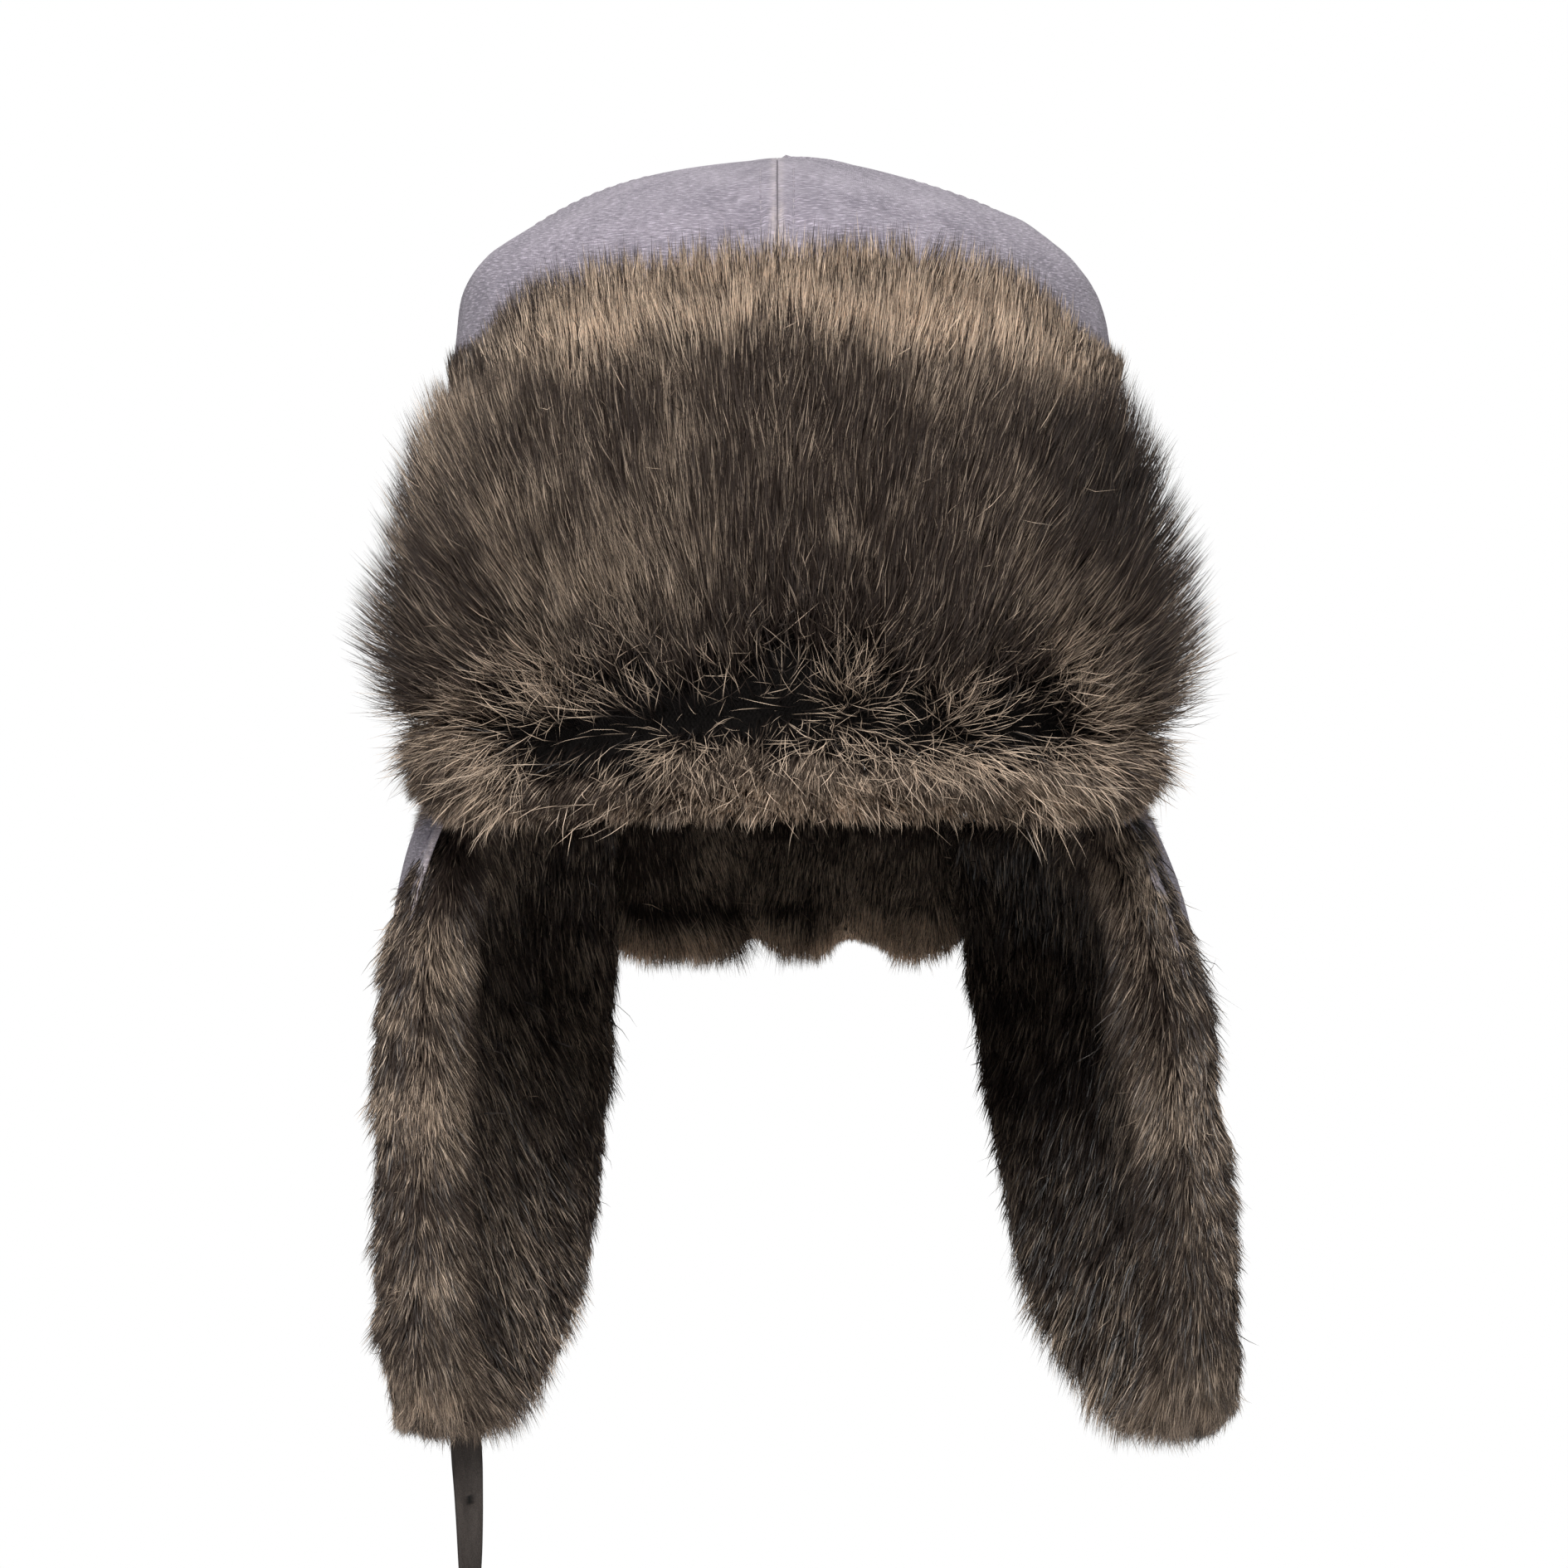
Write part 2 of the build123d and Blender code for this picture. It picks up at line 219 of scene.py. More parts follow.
def pillow(outline, centre, surf, rings):
    """A closed form on a curved surface. outline: the flat (p, z) border in order round. rings: (inset in mm, share of the way from the centre, d, side),
    from the middle of the outer face, over the rim, to the middle of the inner face. surf(p, z, d) gives the point."""
    o = np.asarray(outline, float)
    t = unit(np.roll(o, -1, 0) - np.roll(o, 1, 0))
    nin = np.stack([-t[:, 1], t[:, 0]], 1)
    c = np.asarray(centre, float)
    if ((c - o) * nin).sum() < 0:
        nin = -nin
    for _ in range(6):
        nin = unit(0.5 * nin + 0.25 * (np.roll(nin, 1, 0) + np.roll(nin, -1, 0)))
    K = len(o)
    far = np.linalg.norm(o - c, axis=1)
    P, Z, D, E, S = [], [], [], [], []
    for inset, share, d, side in rings:
        q = c + ((o + nin * inset) - c) * share
        P.append(q[:, 0]); Z.append(q[:, 1]); D.append(np.full(K, d)); E.append(inset + (1 - share) * far); S.append(np.full(K, side))
    P, Z, D, E, S = (np.concatenate(x) for x in (P, Z, D, E, S))
    P = np.concatenate([P, [c[0], c[0]]]); Z = np.concatenate([Z, [c[1], c[1]]])
    D = np.concatenate([D, [rings[0][2], rings[-1][2]]]); E = np.concatenate([E, [far.mean()] * 2]); S = np.concatenate([S, [rings[0][3], rings[-1][3]]])
    k = np.arange(K)
    quads = []
    for j in range(len(rings) - 1):
        a, b = j * K, (j + 1) * K
        quads.append(np.stack([a + k, a + (k + 1) % K, b + (k + 1) % K, b + k], 1))
    top, low, last = len(P) - 2, len(P) - 1, (len(rings) - 1) * K
    tris = np.concatenate([np.stack([np.full(K, top), (k + 1) % K, k], 1), np.stack([np.full(K, low), last + k, last + (k + 1) % K], 1)])
    V = surf(P, Z, D)
    F = outward(V, [np.concatenate(quads), tris])
    return {"V": V, "F": F, "p": P, "z": Z, "d": D, "e": E, "side": S, "outline": o, "nin": nin}


def rim_rings(d0, d1, inset, edge, inner_steps=12, arc=7, share_low=0.06, face_insets=()):
    """Rings of a pillow: an outer face at d0, a half-round rim reaching to inset, and an inner face at d1. edge is the inset of the faces' own borders."""
    r = []
    for s in np.linspace(share_low, 1.0, inner_steps):
        r.append((edge, s, d0, 0.0))
    for e in sorted([x for x in face_insets if inset < x < edge], reverse=True):
        r.append((e, 1.0, d0, 0.0))
    mid, h = (d0 + d1) / 2, (d1 - d0) / 2
    w = min(abs(h), edge - inset - 0.05)
    for i in range(1, arc + 1):
        a = math.pi * i / (arc + 1)
        r.append((inset + w * (1 - math.sin(a)), 1.0, mid - h * math.cos(a), i / (arc + 1)))
    for e in sorted([x for x in face_insets if inset < x < edge]):
        r.append((e, 1.0, d1, 1.0))
    for s in np.linspace(1.0, share_low, inner_steps):
        r.append((edge, s, d1, 1.0))
    return r


def join(parts):
    """Several {V, F} as one."""
    V, F3, F4, base = [], [], [], 0
    for v, fs in parts:
        V.append(v)
        for f in fs:
            f = np.asarray(f)
            (F4 if f.shape[1] == 4 else F3).append(f + base)
        base += len(v)
    F = []
    if F4:
        F.append(np.concatenate(F4))
    if F3:
        F.append(np.concatenate(F3))
    return np.concatenate(V), F


# ---------------------------------------------------------------- the hat's forms, as in the CAD
CROWN = np.array([
    (0, 96, 114), (30, 95.6, 113.6), (60, 94.6, 112.2), (90, 92.8, 109), (112, 90.6, 104.8), (127, 87, 99.2), (139, 81.4, 91.6),
    (149, 72.6, 81.2), (157, 60, 66.6), (163.5, 43.6, 48), (168, 24, 26.4), (169.8, 9, 10), (170.1, 0.4, 0.4)], float)
FLAP = np.array([
    (-3.4, 97.6, 115.6, 0, 12.6), (-20, 103, 123, -3, 20), (-45, 107, 134.4, -12, 25), (-75, 107.4, 137, -24, 25.4), (-105, 107, 128, -32, 25.4),
    (-135, 106, 111, -36, 25), (-160, 105, 99, -40, 24), (-178, 104.4, 92, -42, 22)], float)
BROW = np.array([
    (-8, 97.2, 115.2, 13), (0, 97, 115, 17), (16, 96.8, 114.8, 18), (45, 95.9, 113.8, 19), (80, 94.4, 111.2, 18), (105, 92.4, 107.4, 15),
    (120, 90.4, 103.6, 11), (132, 88.6, 100.6, 7)], float)
fa, fb, fy = (cubic(FLAP[:, 0], FLAP[:, k]) for k in (1, 2, 3))
ba, bb = (cubic(BROW[:, 0], BROW[:, k]) for k in (1, 2))
EAR_AXIS, EAR_OFF, LEFT_SPLAY = (0.244, 0.970), 101.5, 6.0
FOLD_POINT = (EAR_AXIS[1] * EAR_OFF, EAR_AXIS[0] * EAR_OFF, -3.4)
FOLD_DIR = (EAR_AXIS[0], -EAR_AXIS[1], 0.0)


def flap_right(p, z, d):
    f = p / 105.0
    return np.stack([-(fa(z) - d) * np.cos(f), fy(z) + (fb(z) - d) * np.sin(f), z + 0 * f], -1)


def flap_left(p, z, d):
    P = flap_right(p, z, d)
    P = P * np.array([-1.0, 1.0, 1.0])
    return turn(P.reshape(-1, 3), FOLD_POINT, FOLD_DIR, math.radians(LEFT_SPLAY)).reshape(P.shape)


def curtain(p, z, d):
    f = p / 115.0
    return np.stack([(fa(z) - d) * np.sin(f), fy(z) + (fb(z) - d) * np.cos(f), z + 0 * f], -1)


def brow(p, z, g):
    """g: height over the backing's own back face."""
    f = p / 110.0
    return np.stack([(ba(z) + g) * np.sin(f), -(bb(z) + g) * np.cos(f), z + 0 * f], -1)


# borders in (p, z)
side_curve = catmull([(-46, 12), (-46, -14), (-50, -44), (-53, -76), (-54, -108), (-50, -136), (-40, -156), (-22, -168.5), (0, -172),
                      (22, -169), (44, -158), (64, -140), (92, -112), (130, -84), (150, -40), (150, 12)], 10)
front_curve = catmull([(-52, 10), (-52, -10), (-52, -30), (-52, -50), (-54, -72), (-56, -98), (-58, -122), (-63, -142), (-71, -156), (-82, -168), (-96, -178)], 10)
low = int(np.argmin(side_curve[:, 1]))
zz = -3.4 - 168.4 * (np.sin(np.linspace(0, np.pi / 2, 160)))
y_front = np.interp(-zz, -side_curve[:low + 1, 1], side_curve[:low + 1, 0])
y_rear = np.interp(zz, side_curve[low:, 1], side_curve[low:, 0])
x_rear = np.interp(-zz, -front_curve[:, 1], front_curve[:, 0])
phi_f = np.arcsin(np.clip((y_front - fy(zz)) / fb(zz), -1, 1))
phi_r = np.minimum(np.arcsin(np.clip((y_rear - fy(zz)) / fb(zz), -1, 1)), np.arccos(np.clip(-x_rear / fa(zz), -1, 1)))
ear_border = np.concatenate([np.stack([phi_f * 105, zz], 1), np.stack([phi_r * 105, zz], 1)[::-1]])
ear_border = soften(resample(ear_border, 300), 6)
EAR_CENTRE = (22.0, -74.0)

cz = np.linspace(-3.4, -45.5, 30)
half = np.arcsin(51.2 / fa(cz)) * 115
bottom = np.linspace(1, -1, 60)[1:-1]
curtain_border = np.concatenate([
    np.stack([half, cz], 1),
    np.stack([bottom * half[-1], -44.2 - 2.2 * np.abs(bottom) ** 2.5], 1),
    np.stack([-half, cz], 1)[::-1],
    np.stack([np.linspace(-1, 1, 60)[1:-1] * half[0], np.full(58, -3.4)], 1)])
curtain_border = soften(resample(curtain_border, 240), 5)
CURTAIN_CENTRE = (0.0, -24.0)

top_curve = catmull([(-112, 88), (-94, 103), (-72, 114), (-48, 121), (-20, 125), (10, 127), (36, 125.5), (58, 121), (80, 112), (100, 99), (114, 84)], 10)
brow_side = np.array([(-7, -70), (-4.5, -58), (2, -48.5), (20, -48.5), (60, -52), (100, -60), (135, -66)], float)


def brow_end(z):
    y = np.interp(z, brow_side[:, 0], brow_side[:, 1])
    return np.arccos(np.clip(-y / (bb(z) + 3.8), -1, 1)) * 110


z_end = np.linspace(-6.8, 92.0, 60)
x_top = np.linspace(93.0, -93.0, 121)
z_top = np.interp(x_top, top_curve[:, 0], top_curve[:, 1])
p_top = np.arcsin(np.clip(x_top / (ba(z_top) + 3.8), -1, 1)) * 110
keep_top = z_top > 106.5
brow_border = np.concatenate([
    np.stack([brow_end(z_end), z_end], 1), np.stack([p_top, z_top], 1)[keep_top],
    np.stack([-brow_end(z_end), z_end], 1)[::-1],
    np.stack([np.linspace(-1, 1, 140)[1:-1] * brow_end(-6.8), np.full(138, -6.8)], 1)])
brow_border = soften(resample(brow_border, 420), 8)
BROW_CENTRE = (0.0, 58.0)

crease = cubic([-140, -118, -103, -80, -56, -25, 3, 25, 47, 75, 103, 118, 140], [17, 17, 17, 14, 12, 16, 19, 16, 12, 15, 13, 14, 15])


# ---------------------------------------------------------------- materials
class Nodes:
    """Short hand for one node tree."""

    def __init__(self, name):
        self.m = bpy.data.materials.new(name)
        self.m.use_nodes = True
        self.t = self.m.node_tree
        self.bsdf = self.t.nodes["Principled BSDF"]

    def put(self, socket, value):
        if isinstance(value, bpy.types.NodeSocket):
            self.t.links.new(value, socket)
        elif isinstance(value, (tuple, list)) and len(value) == 3 and socket.type == "RGBA":
            socket.default_value = (*value, 1.0)
        else:
            socket.default_value = value

    def add(self, kind, inputs=None, out=0, **props):
        n = self.t.nodes.new("ShaderNode" + kind)
        for k, v in props.items():
            setattr(n, k, v)
        for k, v in (inputs or {}).items():
            self.put(n.inputs[k], v)
        return n.outputs[out]

    def math(self, op, a, b=0.0, c=None):
        ins = {0: a, 1: b}
        if c is not None:
            ins[2] = c
        return self.add("Math", ins, operation=op)

    def attr(self, name, out="Fac"):
        return self.add("Attribute", attribute_name=name, out=out)

    def mix(self, fac, a, b, blend="MIX"):
        n = self.t.nodes.new("ShaderNodeMix")
        n.data_type, n.blend_type, n.clamp_factor = "RGBA", blend, True
        self.put(n.inputs[0], fac)
        self.put(n.inputs[6], a)
        self.put(n.inputs[7], b)
        return n.outputs[2]

    def ramp(self, fac, stops):
        n = self.t.nodes.new("ShaderNodeValToRGB")
        self.put(n.inputs[0], fac)
        e = n.color_ramp.elements
        while len(e) < len(stops):
            e.new(0.5)
        for k, (pos, col) in enumerate(stops):
            e[k].position = pos
            e[k].color = (*col, 1.0) if len(col) == 3 else col
        return n.outputs[0]

    def curve(self, fac, lo, hi, a=0.0, b=1.0):
        return self.add("MapRange", {"Value": fac, "From Min": lo, "From Max": hi, "To Min": a, "To Max": b}, interpolation_type="SMOOTHSTEP", out=0)

    def scale(self, vec, s):
        return self.add("VectorMath", {0: vec, 1: s}, operation="MULTIPLY")

    def noise(self, vec, scale=1.0, detail=2.0, rough=0.5, out=0, distortion=0.0):
        return self.add("TexNoise", {"Vector": vec, "Scale": scale, "Detail": detail, "Roughness": rough, "Distortion": distortion}, out=out)

    def bump(self, height, strength=0.3, distance=0.0005, normal=None):
        ins = {"Strength": strength, "Distance": distance, "Height": height}
        if normal is not None:
            ins["Normal"] = normal
        return self.add("Bump", ins)

    def set(self, **values):
        for k, v in values.items():
            self.put(self.bsdf.inputs[k.replace("_", " ")], v)


def srgb(r, g, b):
    return tuple(((c / 255) / 12.92 if c / 255 <= 0.04045 else ((c / 255 + 0.055) / 1.055) ** 2.4) for c in (r, g, b))


def canvas(name, base, light, worn, pitch=0.62, rough=0.82):
    """Washed waxed canvas. st holds millimetres across and along the cloth, wear is 1 on seams and edges."""
    m = Nodes(name)
    st = m.attr("st", "Vector")
    sx = m.add("SeparateXYZ", {0: st})
    sy = m.add("SeparateXYZ", {0: st}, out=1)
    wobble = m.math("MULTIPLY", m.noise(m.scale(st, (0.12, 0.12, 0.12)), 1.0, 2.0), 2.0)
    wx = m.math("SINE", m.math("ADD", m.math("MULTIPLY", sx, 2 * math.pi / pitch), wobble))
    wy = m.math("SINE", m.math("ADD", m.math("MULTIPLY", sy, 2 * math.pi / pitch), wobble))
    weave = m.math("MULTIPLY_ADD", m.math("MULTIPLY", wx, wy), 0.5, 0.5)
    slub_h = m.noise(m.scale(st, (0.30, 2.0, 1.0)), 1.0, 3.0, 0.65)
    slub_v = m.noise(m.scale(st, (1.7, 0.30, 1.0)), 1.0, 3.0, 0.65)
    mottle = m.noise(m.scale(st, (0.028, 0.028, 1.0)), 1.0, 4.0, 0.62)
    cloud = m.noise(m.scale(st, (0.10, 0.075, 1.0)), 1.0, 3.0, 0.55)
    col = m.mix(m.curve(mottle, 0.30, 0.72), base, light)
    col = m.mix(m.curve(cloud, 0.35, 0.75, 0.0, 0.45), col, light)
    fleck = m.math("MULTIPLY", m.curve(slub_h, 0.50, 0.68), 0.80)
    col = m.mix(fleck, col, tuple(min(1.0, c * 1.9) for c in light))
    col = m.mix(m.math("MULTIPLY", m.curve(slub_v, 0.54, 0.76), 0.30), col, tuple(c * 1.6 for c in light))
    col = m.mix(m.math("MULTIPLY", m.curve(slub_h, 0.48, 0.32), 0.75), col, tuple(c * 0.55 for c in base))
    col = m.mix(m.math("MULTIPLY_ADD", weave, 0.34, -0.06), col, tuple(c * 0.62 for c in base))
    scuff = m.noise(m.scale(st, (0.5, 0.5, 1.0)), 1.0, 5.0, 0.7)
    wear_and_painted_shade = m.math("MULTIPLY", m.attr("wear_and_painted_shade"), m.curve(scuff, 0.32, 0.66, 0.25, 1.0))
    col = m.mix(m.math("MULTIPLY", wear_and_painted_shade, 0.85), col, worn)
    height = m.math("ADD", m.math("MULTIPLY", weave, 0.55), m.math("MULTIPLY", slub_h, 0.9))
    m.set(Base_Color=col, Roughness=m.curve(cloud, 0.3, 0.75, rough + 0.08, rough - 0.12), Normal=m.bump(height, 0.7, 0.0005))
    m.set(Sheen_Weight=0.18, Sheen_Roughness=0.5, Specular_IOR_Level=0.32)
    return m.m


def pile(name, dark, mid, light, tip_dark):
    """Hair. hair holds (0 root to 1 tip, how light its band is, which on the brow roll, ear flaps and neck curtain also
    carries painted light and painted shade, and a random number of its own less a darkening that is partly the fur's
    tone and partly painted shade and painted light), guard is 1 where the tip is dark.
    """
    m = Nodes(name)
    h = m.attr("hair", "Vector")
    t = m.add("SeparateXYZ", {0: h})
    lit = m.add("SeparateXYZ", {0: h}, out=1)
    own = m.add("SeparateXYZ", {0: h}, out=2)
    guard = m.attr("guard")
    body = m.ramp(t, [(0.0, dark), (0.38, tuple(0.5 * (a + b) for a, b in zip(dark, mid))), (0.75, mid), (1.0, mid)])
    band = m.curve(t, 0.34, 0.66)
    end = m.math("SUBTRACT", 1.0, m.math("MULTIPLY", guard, m.curve(t, 0.72, 0.93)))
    fac = m.math("MULTIPLY", m.math("MULTIPLY", band, end), lit)
    col = m.mix(fac, body, light)
    col = m.mix(m.math("MULTIPLY", guard, m.curve(t, 0.74, 1.0, 0.0, 0.75)), col, tip_dark)
    grain = m.noise(m.scale(h, (9.0, 0.0, 41.0)), 1.0, 2.0, 0.6)
    # brightness and roughness from the third number: a random share, less the fur's tone and the painted shade and
    # painted light given to each piece
    gain = m.math("MULTIPLY", m.math("MULTIPLY_ADD", own, 0.62, 0.68), m.math("MULTIPLY_ADD", grain, 0.5, 0.75))
    white = m.add("CombineXYZ", {0: gain, 1: gain, 2: gain})
    col = m.mix(1.0, col, white, "MULTIPLY")
    m.set(Base_Color=col, Roughness=m.math("MULTIPLY_ADD", own, 0.14, 0.37), Specular_IOR_Level=0.42)
    return m.m


def pile_base(name, dark, light):
    """The knitted ground that the hair grows from."""
    m = Nodes(name)
    st = m.attr("st", "Vector")
    sx = m.add("SeparateXYZ", {0: st})
    sy = m.add("SeparateXYZ", {0: st}, out=1)
    knit = m.math("MULTIPLY", m.math("SINE", m.math("MULTIPLY", sx, 5.2)), m.math("SINE", m.math("MULTIPLY", sy, 4.1)))
    fuzz = m.noise(m.scale(st, (1.6, 0.7, 1.0)), 1.0, 4.0, 0.65)
    col = m.mix(m.curve(fuzz, 0.35, 0.75), dark, light)
    m.set(Base_Color=col, Roughness=m.curve(fuzz, 0.3, 0.7, 0.95, 0.8), Normal=m.bump(m.math("ADD", m.math("MULTIPLY", knit, 0.3), fuzz), 0.6, 0.0008))
    m.set(Specular_IOR_Level=0.12)
    return m.m


def quilted(name, base, light):
    """Satin lining, darkened by painted shade in the quilting's hollows."""
    m = Nodes(name)
    st = m.attr("st", "Vector")
    twill = m.math("SINE", m.math("MULTIPLY", m.math("ADD", m.add("SeparateXYZ", {0: st}), m.add("SeparateXYZ", {0: st}, out=1)), 9.0))
    cloud = m.noise(m.scale(st, (0.06, 0.06, 1.0)), 1.0, 4.0, 0.6)
    fine = m.noise(m.scale(st, (2.4, 0.5, 1.0)), 1.0, 3.0, 0.6)
    col = m.mix(m.curve(cloud, 0.3, 0.7), base, light)
    col = m.mix(m.math("MULTIPLY", m.curve(fine, 0.45, 0.75), 0.4), col, tuple(c * 1.5 for c in light))
    # painted shade in the quilting's hollows
    col = m.mix(m.math("MULTIPLY", m.attr("wear_and_painted_shade"), 0.6), col, tuple(c * 0.5 for c in base))
    m.set(Base_Color=col, Roughness=m.curve(fine, 0.3, 0.7, 0.34, 0.5), Normal=m.bump(m.math("ADD", m.math("MULTIPLY", twill, 0.15), fine), 0.25, 0.0003))
    m.set(Sheen_Weight=0.3, Sheen_Roughness=0.35)
    return m.m


def leather(name, base, light, edge, attribute=True):
    m = Nodes(name)
    co = m.scale(m.attr("st", "Vector"), (1.0, 1.0, 1.0)) if attribute else m.scale(m.add("TexCoord", out="Object"), (1000.0, 1000.0, 1000.0))
    cell = m.add("TexVoronoi", {"Vector": co, "Scale": 1.5}, feature="DISTANCE_TO_EDGE")
    crack = m.curve(cell, 0.0, 0.16)
    cloud = m.noise(m.scale(co, (0.11, 0.05, 0.11)), 1.0, 5.0, 0.6)
    fine = m.noise(m.scale(co, (2.2, 0.9, 2.2)), 1.0, 4.0, 0.65)
    streak = m.noise(m.scale(co, (1.3, 0.06, 1.3)), 1.0, 4.0, 0.6)
    col = m.mix(m.curve(cloud, 0.32, 0.72), base, light)
    col = m.mix(m.math("MULTIPLY", m.curve(fine, 0.45, 0.8), 0.35), col, tuple(c * 1.6 for c in light))
    col = m.mix(m.math("MULTIPLY", m.curve(streak, 0.5, 0.75), 0.35), col, tuple(c * 0.6 for c in base))
    col = m.mix(m.math("MULTIPLY", m.math("SUBTRACT", 1.0, crack), 0.35), col, tuple(c * 0.5 for c in base))
    if attribute:
        col = m.mix(m.math("MULTIPLY", m.attr("wear_and_painted_shade"), 0.7), col, edge)
        # the strap holes painted near black: painted shade standing in for holes that are only dents in the mesh
        col = m.mix(m.attr("hole"), col, (0.004, 0.0035, 0.003))
    height = m.math("ADD", m.math("MULTIPLY", crack, 0.5), m.math("MULTIPLY", fine, 0.7))
    m.set(Base_Color=col, Roughness=m.curve(cloud, 0.3, 0.7, 0.66, 0.5), Normal=m.bump(height, 0.35, 0.0003))
    m.set(Specular_IOR_Level=0.36)
    return m.m


def brass(name):
    m = Nodes(name)
    co = m.scale(m.add("TexCoord", out="Object"), (1000.0, 1000.0, 1000.0))
    cloud = m.noise(m.scale(co, (0.5, 0.5, 0.5)), 1.0, 5.0, 0.65)
    fine = m.noise(m.scale(co, (3.0, 3.0, 3.0)), 1.0, 4.0, 0.6)
    col = m.mix(m.curve(cloud, 0.34, 0.68), srgb(96, 74, 44), srgb(168, 136, 84))
    col = m.mix(m.math("MULTIPLY", m.curve(fine, 0.5, 0.8), 0.5), col, srgb(58, 46, 34))
    m.set(Base_Color=col, Metallic=1.0, Roughness=m.curve(fine, 0.3, 0.7, 0.28, 0.5), Normal=m.bump(fine, 0.15, 0.0002))
    return m.m


def felted(name, base, light, scale=1.0):
    """Felt, wadding, buckram and the like on CAD solids."""
    m = Nodes(name)
    co = m.scale(m.add("TexCoord", out="Object"), (1000.0 * scale, 1000.0 * scale, 1000.0 * scale))
    cloud = m.noise(m.scale(co, (0.05, 0.05, 0.05)), 1.0, 4.0, 0.6)
    fibre = m.noise(m.scale(co, (1.1, 1.1, 1.1)), 1.0, 5.0, 0.75, distortion=1.2)
    col = m.mix(m.curve(cloud, 0.3, 0.7), base, light)
    col = m.mix(m.math("MULTIPLY", m.curve(fibre, 0.5, 0.75), 0.5), col, tuple(min(1.0, c * 1.7) for c in light))
    m.set(Base_Color=col, Roughness=m.curve(fibre, 0.3, 0.7, 0.95, 0.8), Normal=m.bump(fibre, 0.5, 0.0006))
    m.set(Specular_IOR_Level=0.2)
    return m.m


def tape(name, base, light, pitch=0.9):
    """Ribbed tape, labels and thread on an st attribute."""
    m = Nodes(name)
    st = m.attr("st", "Vector")
    sx = m.add("SeparateXYZ", {0: st})
    sy = m.add("SeparateXYZ", {0: st}, out=1)
    rib = m.math("SINE", m.math("MULTIPLY", m.math("ADD", sx, m.math("MULTIPLY", sy, 0.6)), 2 * math.pi / pitch))
    fine = m.noise(m.scale(st, (1.5, 1.5, 1.0)), 1.0, 4.0, 0.65)
    cloud = m.noise(m.scale(st, (0.05, 0.15, 1.0)), 1.0, 3.0, 0.6)
    col = m.mix(m.curve(cloud, 0.3, 0.7), base, light)
    col = m.mix(m.math("MULTIPLY", m.curve(fine, 0.48, 0.72), 0.45), col, tuple(min(1.0, c * 1.6) for c in light))
    col = m.mix(m.math("MULTIPLY_ADD", rib, 0.14, 0.14), col, tuple(c * 0.5 for c in base))
    m.set(Base_Color=col, Roughness=m.curve(fine, 0.3, 0.7, 0.9, 0.72), Normal=m.bump(m.math("ADD", rib, fine), 0.4, 0.0003))
    m.set(Specular_IOR_Level=0.25)
    return m.m


CLOTH = canvas("waxed_canvas", srgb(128, 121, 133), srgb(172, 163, 175), srgb(226, 212, 208))
CLOTH_BACK = canvas("waxed_canvas_backing", srgb(118, 113, 127), srgb(158, 151, 167), srgb(208, 196, 196))
THREAD = tape("sewing_thread", srgb(150, 143, 154), srgb(182, 174, 180), 0.5)
BIND = tape("binding_tape", srgb(82, 76, 82), srgb(106, 98, 106))
HAIR = pile("faux_fur_hair", (0.0040, 0.0029, 0.0025), srgb(58, 46, 41), srgb(234, 209, 184), srgb(40, 31, 28))
GROUND = pile_base("faux_fur_ground", (0.0028, 0.0022, 0.0020), (0.0080, 0.0062, 0.0054))
SATIN = quilted("quilted_satin", srgb(44, 40, 42), srgb(66, 60, 63))
STRAP = leather("strap_leather", srgb(64, 57, 53), srgb(92, 84, 79), srgb(50, 44, 41))
PATCH = leather("patch_leather", srgb(60, 51, 46), srgb(88, 77, 70), srgb(50, 44, 41), attribute=False)
BRASS = brass("antique_brass")
WADDING = felted("wadding", srgb(196, 192, 184), srgb(222, 219, 212))
FELT = felted("felt", srgb(58, 54, 52), srgb(78, 72, 69))
BUCKRAM = felted("buckram", srgb(168, 160, 144), srgb(196, 188, 170), 1.4)
SWEAT = tape("sweatband_tape", srgb(40, 36, 36), srgb(60, 54, 54), 1.2)
LABEL = tape("label_weave", srgb(58, 54, 56), srgb(78, 73, 75), 0.5)
TAB = tape("tab_weave", srgb(206, 200, 188), srgb(224, 219, 209), 0.45)


# ---------------------------------------------------------------- chin strap
ROUTE = [(-0.0876, -0.0030, -0.1742), (-0.0862, -0.0042, -0.1930), (-0.0860, -0.0058, -0.2280), (-0.0873, -0.0062, -0.2680),
         (-0.0880, -0.0048, -0.3180), (-0.0870, -0.0036, -0.3650)]


def nurbs_line(name, points):
    c = bpy.data.curves.new(name, "CURVE")
    c.dimensions = "3D"
    s = c.splines.new("NURBS")
    s.points.add(len(points) - 1)
    for q, p in zip(s.points, points):
        q.co = (*p, 1.0)
    s.order_u = 3
    s.use_endpoint_u = True
    c.resolution_u = 32
    ob = bpy.data.objects.new(name, c)
    bpy.context.scene.collection.objects.link(ob)
    me = bpy.data.meshes.new_from_object(ob)
    co = np.array([v.co for v in me.vertices], float)
    bpy.data.objects.remove(ob)
    bpy.data.meshes.remove(me)
    return co


